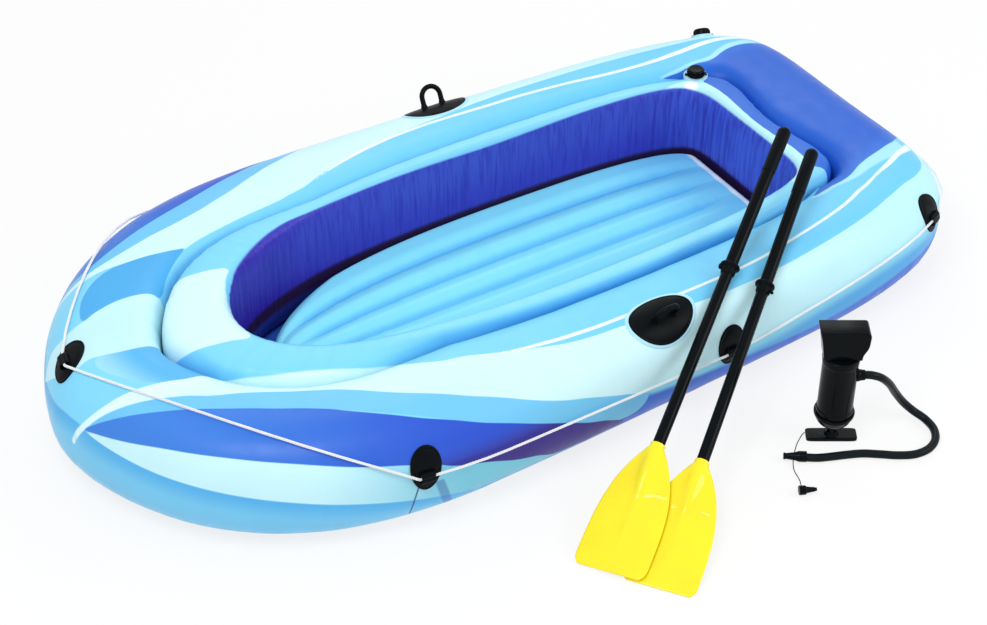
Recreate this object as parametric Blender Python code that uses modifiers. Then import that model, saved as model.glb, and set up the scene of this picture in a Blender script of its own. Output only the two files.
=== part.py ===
"""Two-chamber inflatable boat with a cushion floor, grab rope, two oars and a hand pump.

Metres. +X runs to the square stern, -Y is the side that the oars lean on, +Z is up,
and the origin is the middle of the flat underside.
"""

import bpy
import bmesh
from math import atan2, ceil, copysign, cos, degrees, hypot, pi, radians, sin
from mathutils import Matrix, Vector
from mathutils.bvhtree import BVHTree

# Clearance between pieces that touch
FIT_GAP = 0.0003

# Hull plan: each outline is two half superellipses that meet at the widest place
HULL_LENGTH = 1.88
HULL_WIDTH = 0.982
HULL_BEAM_X = -0.195
HULL_BOW_POWERS = (2.97, 1.6)
HULL_STERN_POWERS = (7.1, 5.83)
STERN_NARROWING = 0.122
NARROWING_START_X = -0.30

COCKPIT_FRONT_X = -0.553
COCKPIT_BACK_X = 0.642
COCKPIT_WIDTH = 0.496
COCKPIT_BEAM_X = 0.302
COCKPIT_BOW_POWERS = (2.95, 2.3)
COCKPIT_STERN_POWERS = (2.02, 9.39)

# Hull section
HULL_HEIGHT = 0.24
TUBE_WIDTH = 0.231
TUBE_POWER = 2.4
WALL_POWER = 5.0
INNER_TUBE_LEAST = 0.045
SHEET_THICKNESS = 0.001
SHEET_INSET = 0.10

# The hull is measured around a straight spine with a half turn at each end
SPINE_FRONT_X = -0.30
SPINE_BACK_X = 0.45
TURN_RADIUS = 0.45
OUTER_STATIONS = 76
OUTER_SIDES = 18
INNER_SIDES = 12

# Floor cushion
FLOOR_HEIGHT = 0.075
FLOOR_CHANNELS = 6
CHANNEL_DEPTH = 0.014
FLOOR_SIDE_GAP = 0.004
FLOOR_BOW_GAP = 0.030
FLOOR_STERN_GAP = 0.008
FLOOR_STATIONS = 21
FLOOR_POINTS = 37

# Pads welded to the hull start this far below its skin before the hull is cut from them
PAD_ROOT = -0.002
PAD_LIFT = 0.0005

# Grab rope and its holders
ROPE_DIAMETER = 0.006
ROPE_STANDOFF = 0.0072
ROPE_CLEARANCE = 0.0005
ROPE_STEP = 0.055
HOLDER_LENGTH = 0.060
HOLDER_HEIGHT = 0.092
HOLDER_THICKNESS = 0.003
HOLDER_EYE_DROP = 0.014
EYE_LENGTH = 0.030
EYE_HEIGHT = 0.026
EYE_RISE = 0.0075
BOW_HOLDER_AROUND = -0.042
BOW_HOLDER_ROLL = radians(58)
SIDE_HOLDERS = (("fore", -0.430, radians(8)), ("aft", 0.259, radians(-1)))
STERN_HOLDERS = {"near": (radians(45.6), radians(18)), "far": (radians(40), radians(6))}

# Oarlocks
OARLOCK_X = 0.120
OARLOCK_ROLL = radians(64)
OARLOCK_PAD_LENGTH = 0.118
OARLOCK_PAD_HEIGHT = 0.100
OARLOCK_PAD_THICKNESS = 0.004
OARLOCK_HOLE_WIDTH = 0.032
OARLOCK_HOLE_HEIGHT = 0.034
OARLOCK_LOOP_RADIUS = 0.0055

# Valves
VALVE_BORE_RADIUS = 0.0112
VALVE_NECK_RADIUS = 0.0138
VALVE_NECK_TOP = 0.0110
VALVE_FLANGE_RADIUS = 0.0265
VALVE_FLANGE_THICKNESS = 0.002
VALVE_ROOT = 0.006
PLUG_HEAD_RADIUS = 0.0145
PLUG_HEAD_THICKNESS = 0.003
PLUG_LENGTH = 0.010
CAP_WALL = 0.0021
CAP_CLEARANCE = 0.0027
CAP_CEILING = 0.0025
CAP_HINGE_X = -0.0230
CAP_KNUCKLE_RADIUS = 0.0014
CAP_TAB_WIDTH = 0.009
OUTER_VALVE_BEARING = radians(47)
OUTER_VALVE_ROLL = radians(50)
INNER_VALVE_BEARING = radians(45.5)
INNER_VALVE_REACH = 0.303
FLOOR_VALVE_X = 0.50
FLOOR_VALVE_CHANNEL = 1

# Oars
OAR_LENGTH = 1.00
OAR_UPPER_LENGTH = 0.332
OAR_UPPER_RADIUS = 0.0135
OAR_LOWER_RADIUS = 0.0118
OAR_SHAFT_WALL = 0.0014
OAR_PLUG_DEPTH = 0.060
OAR_COLLAR_RADIUS = 0.0200
OAR_COLLAR_LENGTH = 0.022
OAR_COLLAR_LIP = 0.0032
GRIP_LENGTH = 0.110
GRIP_RADIUS = 0.0148
GRIP_PLUG_DEPTH = 0.025
BLADE_LENGTH = 0.265
BLADE_WIDTH = 0.139
BLADE_TIP_WIDTH = 0.117
BLADE_THICKNESS = 0.0045
BLADE_RIB = 0.0055
BLADE_SOCKET_RADIUS = 0.0145
BLADE_SOCKET_DEPTH = 0.050
BLADE_CROWN = 0.004
OAR_LEANS = (
    ("aft_oar", (-0.157, -0.817), radians(36.5), 0.0),
    ("fore_oar", (-0.212, -0.740), radians(34.1), radians(-4.5)),
)

# Hand pump
PUMP_PLACE = (0.360, -0.663)
PUMP_HEADING = radians(-31.8)
PUMP_HEIGHT = 0.280
FOOT_LENGTH = 0.098
FOOT_WIDTH = 0.032
FOOT_THICKNESS = 0.008
NECK_RADIUS = 0.009
CONE_TOP_Z = 0.068
BARREL_RADIUS = 0.0350
BARREL_WALL = 0.0025
BARREL_TOP_Z = 0.200
FLARE_RADIUS = 0.0390
PUMP_CAP_THICKNESS = 0.006
ROD_RADIUS = 0.0060
PISTON_THICKNESS = 0.012
PISTON_CLEARANCE = 0.0012
SEAL_RADIUS = 0.0016
HANDLE_WIDTH = 0.096
HANDLE_DEPTH = 0.042
HANDLE_SHOULDER_WIDTH = 0.072
HANDLE_GRIP_HEIGHT = 0.040
HANDLE_EDGE = 0.006

# Hose: points run right of the pump, away from the oars' side and up
HOSE_DIAMETER = 0.016
HOSE_PORT_Z = 0.155
HOSE_PORT_LENGTH = 0.014
HOSE_ROUTE = (
    (0.0496, 0.000, 0.155), (0.060, 0.000, 0.1548), (0.081, 0.005, 0.144), (0.102, 0.020, 0.116),
    (0.121, 0.040, 0.077), (0.141, 0.052, 0.043), (0.164, 0.053, 0.019), (0.186, 0.039, 0.0100),
    (0.199, 0.012, 0.0083), (0.197, -0.019, 0.0083), (0.180, -0.045, 0.0083), (0.152, -0.060, 0.0083),
    (0.119, -0.063, 0.0083), (0.085, -0.060, 0.0083), (0.052, -0.058, 0.0083), (0.019, -0.062, 0.0083),
    (-0.010, -0.067, 0.0083), (-0.034, -0.070, 0.0083), (-0.055, -0.069, 0.0083),
)
HOSE_STEP = 0.016
NOZZLE_LENGTH = 0.044
NOZZLE_RADIUS = 0.0105
NOZZLE_TIP_RADIUS = 0.0065
NOZZLE_BORE_RADIUS = 0.0019

# Spare valve adapter on its tether, placed from the pump like the hose
ADAPTER_PLACE = (-0.080, -0.160)
ADAPTER_LENGTH = 0.034
ADAPTER_RADIUS = 0.009
ADAPTER_TIP_RADIUS = 0.0032
ADAPTER_BORE_RADIUS = 0.0016
ADAPTER_HEADING = radians(6)
TETHER_DIAMETER = 0.0018
TETHER_STEP = 0.0045
TETHER_ROUTE = (
    (-0.0504, 0.005, 0.0050), (-0.0545, 0.002, 0.0032), (-0.0600, -0.007, 0.0013), (-0.0670, -0.022, 0.0013),
    (-0.0730, -0.040, 0.0013), (-0.0775, -0.057, 0.0013), (-0.0805, -0.074, 0.0013), (-0.0815, -0.088, 0.0013),
    (-0.0805, -0.101, 0.0013), (-0.0765, -0.114, 0.0013), (-0.0735, -0.126, 0.0013), (-0.0728, -0.137, 0.0018),
    (-0.0726, -0.1445, 0.0045), (-0.0724, -0.1495, 0.0088),
)

HALF_TURN = pi / 2 * TURN_RADIUS
SIDE_RUN = SPINE_BACK_X - SPINE_FRONT_X
HALF_AROUND = 2 * HALF_TURN + SIDE_RUN
CHAMBER_BOTTOM = SHEET_THICKNESS + FIT_GAP
ROPE_RADIUS = ROPE_DIAMETER / 2
HOSE_RADIUS = HOSE_DIAMETER / 2

HULL_LINE = (-HULL_LENGTH / 2, HULL_LENGTH / 2, HULL_BEAM_X, HULL_WIDTH / 2,
             HULL_BOW_POWERS, HULL_STERN_POWERS)
COCKPIT_LINE = (COCKPIT_FRONT_X, COCKPIT_BACK_X, COCKPIT_BEAM_X, COCKPIT_WIDTH / 2,
                COCKPIT_BOW_POWERS, COCKPIT_STERN_POWERS)


def start_scene():
    """Empty the scene and return the part's collection and the cutters' collection."""
    for old in list(bpy.data.objects):
        bpy.data.objects.remove(old, do_unlink=True)
    found = []
    for name in ("inflatable_boat", "cutters"):
        collection = bpy.data.collections.new(name)
        bpy.context.scene.collection.children.link(collection)
        found.append(collection)
    return found


PART, CUTTERS = start_scene()


def plain_material(name, colour, roughness, metallic=0.0):
    material = bpy.data.materials.new(name)
    material.use_nodes = True
    shader = material.node_tree.nodes["Principled BSDF"]
    shader.inputs["Base Color"].default_value = (*colour, 1.0)
    shader.inputs["Roughness"].default_value = roughness
    shader.inputs["Metallic"].default_value = metallic
    return material


PRINTED_VINYL = plain_material("printed_vinyl", (0.21, 0.66, 0.96), 0.35)
WALL_VINYL = plain_material("wall_vinyl", (0.04, 0.04, 0.48), 0.40)
FLOOR_VINYL = plain_material("floor_vinyl", (0.17, 0.63, 0.98), 0.35)
SHEET_VINYL = plain_material("sheet_vinyl", (0.03, 0.09, 0.55), 0.45)
BLACK_VINYL = plain_material("black_vinyl", (0.006, 0.008, 0.010), 0.45)
BLACK_PLASTIC = plain_material("black_plastic", (0.005, 0.008, 0.009), 0.25)
BLACK_HOSE = plain_material("black_hose", (0.01, 0.012, 0.015), 0.40)
YELLOW_PLASTIC = plain_material("yellow_plastic", (1.0, 0.88, 0.02), 0.20)
WHITE_ROPE = plain_material("white_rope", (0.90, 0.90, 0.92), 0.80)
SEAL_RUBBER = plain_material("seal_rubber", (0.02, 0.02, 0.02), 0.60)


def keep(body, name, material, sharp=35):
    """Name a finished object, give it its material and shade its round faces smooth."""
    body.name = name
    body.data.name = name
    body.data.materials.clear()
    body.data.materials.append(material)
    body.data.shade_smooth()
    body.data.set_sharp_from_angle(angle=radians(sharp))
    return body


def from_bmesh(mesh, name, collection=PART):
    data = bpy.data.meshes.new(name)
    mesh.to_mesh(data)
    mesh.free()
    body = bpy.data.objects.new(name, data)
    collection.objects.link(body)
    return body


def hide_cutter(body):
    body.hide_render = True
    body.display_type = "WIRE"
    return body


def combine(body, other, operation):
    step = body.modifiers.new(operation.lower(), "BOOLEAN")
    step.operation = operation
    step.object = other


def loft(rings, name, closed_path=False, collection=PART):
    """Skin closed rings of points; an open path gets flat ends."""
    mesh = bmesh.new()
    rows = [[mesh.verts.new(point) for point in ring] for ring in rings]
    count = len(rows[0])
    for low in range(len(rows) if closed_path else len(rows) - 1):
        high = (low + 1) % len(rows)
        for side in range(count):
            after = (side + 1) % count
            mesh.faces.new((rows[low][side], rows[high][side], rows[high][after], rows[low][after]))
    if not closed_path:
        mesh.faces.new(rows[0])
        mesh.faces.new(rows[-1])
    bmesh.ops.recalc_face_normals(mesh, faces=mesh.faces)
    return from_bmesh(mesh, name, collection)


def turned(profile, name, segments, frame, collection=PART):
    """Turn a closed profile of (radius, height) about the local Z axis of a frame."""
    data = bpy.data.meshes.new(name)
    points = [(radius, 0.0, height) for radius, height in profile]
    edges = [(index, (index + 1) % len(points)) for index in range(len(points))]
    on_axis = profile[0][0] == 0.0 and profile[-1][0] == 0.0
    if on_axis:
        edges = edges[:-1]
    data.from_pydata(points, edges, [])
    body = bpy.data.objects.new(name, data)
    collection.objects.link(body)
    body.matrix_world = frame
    screw = body.modifiers.new("turn", "SCREW")
    screw.axis = "Z"
    screw.steps = segments
    screw.render_steps = segments
    screw.use_merge_vertices = True
    screw.merge_threshold = 0.00001
    screw.use_normal_calculate = True
    return as_mesh(body, name, collection)


def as_mesh(source, name, collection=PART):
    """Swap an object for a plain mesh of what it evaluates to, welded and facing out."""
    bpy.context.view_layer.update()
    evaluated = source.evaluated_get(bpy.context.evaluated_depsgraph_get())
    data = bpy.data.meshes.new_from_object(evaluated)
    place = source.matrix_world.copy()
    bpy.data.objects.remove(source, do_unlink=True)
    mesh = bmesh.new()
    mesh.from_mesh(data)
    bmesh.ops.remove_doubles(mesh, verts=mesh.verts, dist=0.00001)
    bmesh.ops.recalc_face_normals(mesh, faces=mesh.faces)
    mesh.to_mesh(data)
    mesh.free()
    body = bpy.data.objects.new(name, data)
    collection.objects.link(body)
    body.matrix_world = place
    return body


def tube(points, radius, name, resolution=2, cyclic=False, collection=PART):
    curve = bpy.data.curves.new(name, "CURVE")
    curve.dimensions = "3D"
    curve.bevel_depth = radius
    curve.bevel_resolution = resolution
    curve.use_fill_caps = not cyclic
    spline = curve.splines.new("POLY")
    spline.points.add(len(points) - 1)
    for knot, point in zip(spline.points, points):
        knot.co = (*point, 1.0)
    spline.use_cyclic_u = cyclic
    body = bpy.data.objects.new(name, curve)
    collection.objects.link(body)
    return as_mesh(body, name, collection)


def frame_from(origin, x_axis, z_axis):
    """Matrix with the given origin, its Z along z_axis and its X close to x_axis."""
    up = Vector(z_axis).normalized()
    across = up.cross(Vector(x_axis)).normalized()
    along = across.cross(up)
    turn = Matrix((along, across, up)).transposed()
    return Matrix.Translation(origin) @ turn.to_4x4()


def narrowing(x):
    run = (x - NARROWING_START_X) / (HULL_LENGTH / 2 - NARROWING_START_X)
    return 1.0 - STERN_NARROWING * max(0.0, run)


def outline_level(line, x, y):
    """Below one inside an outline, above one outside it."""
    front, back, beam_x, half_width, bow_powers, stern_powers = line
    if x < beam_x:
        lengthwise = (beam_x - x) / (beam_x - front)
        powers = bow_powers
    else:
        lengthwise = (x - beam_x) / (back - beam_x)
        powers = stern_powers
    return lengthwise ** powers[0] + abs(y / (half_width * narrowing(x))) ** powers[1]


def reach(line, base_x, heading):
    """Distance from a point on the spine to an outline, along a heading."""
    low, high = 0.0, HULL_LENGTH
    while high - low > 1e-9:
        middle = (low + high) / 2
        if outline_level(line, base_x + heading[0] * middle, heading[1] * middle) < 1.0:
            low = middle
        else:
            high = middle
    return low


def station(around):
    """Spine point and heading at a distance around the hull, from the bow, -Y side positive."""
    run = abs(around)
    side = -copysign(1.0, around)
    if run < HALF_TURN:
        turn = run / TURN_RADIUS
        return SPINE_FRONT_X, (-cos(turn), side * sin(turn))
    if run < HALF_TURN + SIDE_RUN:
        return SPINE_FRONT_X + run - HALF_TURN, (0.0, side)
    turn = (run - HALF_TURN - SIDE_RUN) / TURN_RADIUS
    return SPINE_BACK_X, (sin(turn), side * cos(turn))


def around_at(x, y):
    """Distance around the hull of a plan position."""
    if x < SPINE_FRONT_X:
        run = atan2(abs(y), SPINE_FRONT_X - x) * TURN_RADIUS
    elif x > SPINE_BACK_X:
        run = HALF_TURN + SIDE_RUN + atan2(x - SPINE_BACK_X, abs(y)) * TURN_RADIUS
    else:
        run = HALF_TURN + x - SPINE_FRONT_X
    return copysign(run, -y)


def stern_around(bearing, side):
    """Distance around the hull of a bearing from +X at the spine's back end."""
    return side * (HALF_TURN + SIDE_RUN + (pi / 2 - bearing) * TURN_RADIUS)


def chamber_spans(around):
    """Spine distances of the hull's edge, the crease between the chambers and the cockpit."""
    base_x, heading = station(around)
    edge = reach(HULL_LINE, base_x, heading)
    rim = reach(COCKPIT_LINE, base_x, heading)
    crease = edge - min(TUBE_WIDTH, edge - rim - INNER_TUBE_LEAST)
    return edge, crease, rim


def section_point(inner, outer, powers, roll, lift):
    """Point of a tube's section: roll 0 is outermost and a quarter turn is the top."""
    half_width = (outer - inner) / 2
    half_height = (HULL_HEIGHT - CHAMBER_BOTTOM) / 2
    power = powers[0] if cos(roll) >= 0 else powers[1]
    out = half_width * copysign(abs(cos(roll)) ** (2 / power), cos(roll))
    up = half_height * copysign(abs(sin(roll)) ** (2 / power), sin(roll))
    slope_out = copysign(abs(out / half_width) ** (power - 1), out) / half_width
    slope_up = copysign(abs(up / half_height) ** (power - 1), up) / half_height
    steep = hypot(slope_out, slope_up)
    distance = (inner + outer) / 2 + out + lift * slope_out / steep
    height = CHAMBER_BOTTOM + half_height + up + lift * slope_up / steep
    return distance, height


def outer_skin(around, roll, lift=0.0):
    base_x, heading = station(around)
    edge, crease, _ = chamber_spans(around)
    distance, height = section_point(crease, edge, (TUBE_POWER, WALL_POWER), roll, lift)
    return Vector((base_x + heading[0] * distance, heading[1] * distance, height))


def inner_skin(around, roll, lift=0.0):
    base_x, heading = station(around)
    _, crease, rim = chamber_spans(around)
    powers = (WALL_POWER, WALL_POWER)
    distance, height = section_point(rim, crease - FIT_GAP, powers, roll, lift)
    return Vector((base_x + heading[0] * distance, heading[1] * distance, height))


def skin_frame(skin, around, roll, lift):
    """Frame on a chamber: X along the hull, Y up over the tube, Z out of the skin."""
    step = 0.002
    along = skin(around + step, roll) - skin(around - step, roll)
    over = skin(around, roll + step) - skin(around, roll - step)
    out = along.cross(over)
    if out.dot(skin(around, roll, step) - skin(around, roll)) < 0:
        out = -out
    return frame_from(skin(around, roll, lift), along, out)


def chamber(skin, sides, name, lift=0.0, collection=PART):
    step = 2 * HALF_AROUND / OUTER_STATIONS
    rings = []
    for number in range(OUTER_STATIONS):
        around = -HALF_AROUND + step * (number + 0.5)
        rings.append([skin(around, 2 * pi * side / sides, lift) for side in range(sides)])
    return loft(rings, name, True, collection)


def make_bottom_sheet():
    step = 2 * HALF_AROUND / OUTER_STATIONS
    outline = []
    for number in range(OUTER_STATIONS):
        around = -HALF_AROUND + step * (number + 0.5)
        base_x, heading = station(around)
        distance = reach(HULL_LINE, base_x, heading) - SHEET_INSET
        outline.append((base_x + heading[0] * distance, heading[1] * distance, 0.0))
    curve = bpy.data.curves.new("bottom_sheet", "CURVE")
    curve.dimensions = "2D"
    curve.fill_mode = "BOTH"
    curve.extrude = SHEET_THICKNESS / 2
    spline = curve.splines.new("POLY")
    spline.points.add(len(outline) - 1)
    for knot, point in zip(spline.points, outline):
        knot.co = (*point, 1.0)
    spline.use_cyclic_u = True
    body = bpy.data.objects.new("bottom_sheet", curve)
    PART.objects.link(body)
    body.location.z = SHEET_THICKNESS / 2
    return keep(as_mesh(body, "bottom_sheet"), "bottom_sheet", SHEET_VINYL)


def floor_half_width(x):
    """Half width of the floor cushion, which follows the cockpit."""
    front = COCKPIT_FRONT_X + FLOOR_BOW_GAP
    back = COCKPIT_BACK_X - FLOOR_STERN_GAP
    half = COCKPIT_WIDTH / 2
    line = (front, back, COCKPIT_BEAM_X, half, COCKPIT_BOW_POWERS, COCKPIT_STERN_POWERS)
    low, high = 0.0, half
    while high - low > 1e-7:
        middle = (low + high) / 2
        if outline_level(line, x, middle) < 1.0:
            low = middle
        else:
            high = middle
    return low - FLOOR_SIDE_GAP


def floor_top(across, end_factor):
    """Height of the cushion's top at a fraction across it, with its channels."""
    ridge = abs(sin(pi * FLOOR_CHANNELS * (across + 1) / 2))
    crown = (1 - abs(across) ** 7) ** 0.5
    full = FLOOR_HEIGHT - CHANNEL_DEPTH * (1 - ridge ** 0.6) - CHAMBER_BOTTOM
    return CHAMBER_BOTTOM + full * max(0.35, crown) * end_factor


def floor_rings(lift):
    front = COCKPIT_FRONT_X + FLOOR_BOW_GAP
    back = COCKPIT_BACK_X - FLOOR_STERN_GAP
    rings = []
    for number in range(FLOOR_STATIONS):
        share = number / (FLOOR_STATIONS - 1)
        eased = 0.5 - 0.5 * cos(pi * share)
        x = front + 0.004 + (back - front - 0.006) * (0.35 * share + 0.65 * eased)
        half = floor_half_width(x)
        from_end = min(x - front, back - x)
        end_factor = min(1.0, 0.55 + 0.45 * (from_end / 0.05) ** 0.5)
        low_side = CHAMBER_BOTTOM + 0.4 * FLOOR_HEIGHT * end_factor + lift
        ring = [(x, -half * 0.96, CHAMBER_BOTTOM), (x, -half, low_side)]
        for place in range(FLOOR_POINTS):
            across = -1 + 2 * (place + 0.5) / FLOOR_POINTS
            ring.append((x, across * half, floor_top(across, end_factor) + lift))
        ring.append((x, half, low_side))
        ring.append((x, half * 0.96, CHAMBER_BOTTOM))
        rings.append(ring)
    return rings


def make_floor():
    return keep(loft(floor_rings(0.0), "floor_cushion"), "floor_cushion", FLOOR_VINYL, 60)


def hull_pad(skin, around, roll, length, height, thickness, name, egg=0.0):
    """Oval pad that follows the skin: a flattened sphere whose underside is cut off by the hull."""
    step = 0.01
    along_rate = (skin(around + step, roll) - skin(around - step, roll)).length / (2 * step)
    over_rate = (skin(around, roll + step) - skin(around, roll - step)).length / (2 * step)
    mesh = bmesh.new()
    bmesh.ops.create_uvsphere(mesh, u_segments=16, v_segments=6, radius=1.0)
    for vert in mesh.verts:
        along, over, level = vert.co
        flat = copysign(min(1.0, abs(level) * 2.2), level)
        width = 1.0 + egg * over
        lift = PAD_ROOT + (thickness - PAD_ROOT) * (flat + 1) / 2
        vert.co = skin(around + along * width * length / 2 / along_rate,
                       roll + over * height / 2 / over_rate, lift)
    bmesh.ops.recalc_face_normals(mesh, faces=mesh.faces)
    return from_bmesh(mesh, name)


def taut_run(start, end, steps):
    """Points of a rope pulled straight over the outer tube between two places on it."""
    first = outer_skin(*start, ROPE_STANDOFF)
    last = outer_skin(*end, ROPE_STANDOFF)
    out = skin_frame(outer_skin, *start, 0.0).col[2].xyz + skin_frame(outer_skin, *end, 0.0).col[2].xyz
    out.normalize()
    points = []
    for number in range(1, steps):
        straight = first.lerp(last, number / steps)
        low, high = 0.0, HULL_HEIGHT
        while high - low > 1e-5:
            middle = (low + high) / 2
            if clear_of_tube(straight + out * middle):
                high = middle
            else:
                low = middle
        points.append(straight + out * high)
    return points


def clear_of_tube(point):
    """Whether a point lies outside the outer tube by the rope's standoff."""
    around = around_at(point.x, point.y)
    base_x, _ = station(around)
    edge, crease, _ = chamber_spans(around)
    distance = hypot(point.x - base_x, point.y) - (edge + crease) / 2
    height = point.z - (HULL_HEIGHT + CHAMBER_BOTTOM) / 2
    half_width = (edge - crease) / 2
    half_height = (HULL_HEIGHT - CHAMBER_BOTTOM) / 2
    power = TUBE_POWER if distance >= 0 else WALL_POWER
    out = copysign(abs(distance / half_width) ** (power / 2), distance)
    up = copysign(abs(height / half_height) ** (power / 2), height)
    distance_there, height_there = section_point(
        crease, edge, (TUBE_POWER, WALL_POWER), atan2(up, out), ROPE_STANDOFF)
    there = hypot(distance_there - (edge + crease) / 2, height_there - (HULL_HEIGHT + CHAMBER_BOTTOM) / 2)
    return hypot(distance, height) >= there


def holder_places():
    """Name, distance around the hull and roll of each rope holder, in order from the bow."""
    places = [("bow", BOW_HOLDER_AROUND, BOW_HOLDER_ROLL)]
    for side, side_name in ((1, "near"), (-1, "far")):
        for tag, x, roll in SIDE_HOLDERS:
            places.append((f"{tag}_{side_name}", side * holder_around(x), roll))
        bearing, roll = STERN_HOLDERS[side_name]
        places.append((f"stern_{side_name}", stern_around(bearing, side), roll))
    return sorted(places, key=lambda place: place[1])


def holder_around(x):
    """Distance around the hull at which the hull's edge has a given x."""
    low, high = 0.0, HALF_AROUND
    while high - low > 1e-6:
        middle = (low + high) / 2
        if outer_skin(middle, 0.0).x < x:
            low = middle
        else:
            high = middle
    return low


def rope_points(places):
    """The closed route of the grab rope through every holder's eye."""
    half_eye = EYE_LENGTH / 2
    route = []
    for index, (_, around, roll) in enumerate(places):
        rate = (outer_skin(around + 0.01, roll) - outer_skin(around - 0.01, roll)).length / 0.02
        before, after = around - half_eye / rate, around + half_eye / rate
        route += [outer_skin(before, roll, ROPE_STANDOFF), outer_skin(around, roll, ROPE_STANDOFF),
                  outer_skin(after, roll, ROPE_STANDOFF)]
        _, next_around, next_roll = places[(index + 1) % len(places)]
        start = (after, roll)
        if next_around < around:
            next_around += 2 * HALF_AROUND
        end = (next_around - half_eye / rate, next_roll)
        length = (outer_skin(*wrap(end)) - outer_skin(*start)).length
        route += taut_run(start, wrap(end), max(2, ceil(length / ROPE_STEP)))
    return route


def wrap(place):
    """Bring a distance around the hull back to the half turn on either side of the bow."""
    around, roll = place
    while around > HALF_AROUND:
        around -= 2 * HALF_AROUND
    return around, roll


def make_rope_and_holders(hull):
    places = holder_places()
    route = rope_points(places)
    keep(tube(route, ROPE_RADIUS, "grab_rope", 2, True), "grab_rope", WHITE_ROPE)
    bore = hide_cutter(tube(route, ROPE_RADIUS + ROPE_CLEARANCE, "rope_bore", 2, True, CUTTERS))
    for name, around, roll in places:
        over_rate = (outer_skin(around, roll + 0.01) - outer_skin(around, roll - 0.01)).length / 0.02
        middle = roll + HOLDER_EYE_DROP / over_rate
        pad = hull_pad(outer_skin, around, middle, HOLDER_LENGTH, HOLDER_HEIGHT, HOLDER_THICKNESS,
                       f"rope_holder_{name}", 0.12)
        eye = bmesh.new()
        bmesh.ops.create_uvsphere(eye, u_segments=10, v_segments=6, radius=1.0)
        bmesh.ops.scale(eye, vec=(EYE_LENGTH / 2, EYE_HEIGHT / 2, EYE_RISE), verts=eye.verts)
        lump = hide_cutter(from_bmesh(eye, f"eye_{name}", CUTTERS))
        lump.matrix_world = skin_frame(outer_skin, around, roll, ROPE_STANDOFF)
        combine(pad, lump, "UNION")
        combine(pad, hull, "DIFFERENCE")
        combine(pad, bore, "DIFFERENCE")
        keep(pad, f"rope_holder_{name}", BLACK_VINYL)
    return PART.objects["grab_rope"]


def make_oarlocks(hull):
    for side, side_name in ((1, "near"), (-1, "far")):
        around = side * (HALF_TURN + OARLOCK_X - SPINE_FRONT_X)
        pad = hull_pad(outer_skin, around, OARLOCK_ROLL, OARLOCK_PAD_LENGTH, OARLOCK_PAD_HEIGHT,
                       OARLOCK_PAD_THICKNESS, f"oarlock_{side_name}", 0.14)
        half = OARLOCK_HOLE_WIDTH / 2 + OARLOCK_LOOP_RADIUS
        spring = OARLOCK_PAD_THICKNESS + OARLOCK_HOLE_HEIGHT - OARLOCK_HOLE_WIDTH / 2
        arch = [(-half, 0.0, -0.002)]
        for number in range(9):
            turn = pi * number / 8
            arch.append((-half * cos(turn), 0.0, spring + half * sin(turn)))
        arch.append((half, 0.0, -0.002))
        loop = tube(arch, OARLOCK_LOOP_RADIUS, f"loop_{side_name}", 2, False, CUTTERS)
        loop.matrix_world = skin_frame(outer_skin, around, OARLOCK_ROLL, FIT_GAP + 0.0015)
        combine(pad, hide_cutter(loop), "UNION")
        combine(pad, hull, "DIFFERENCE")
        keep(pad, f"oarlock_{side_name}", BLACK_VINYL)


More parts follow.
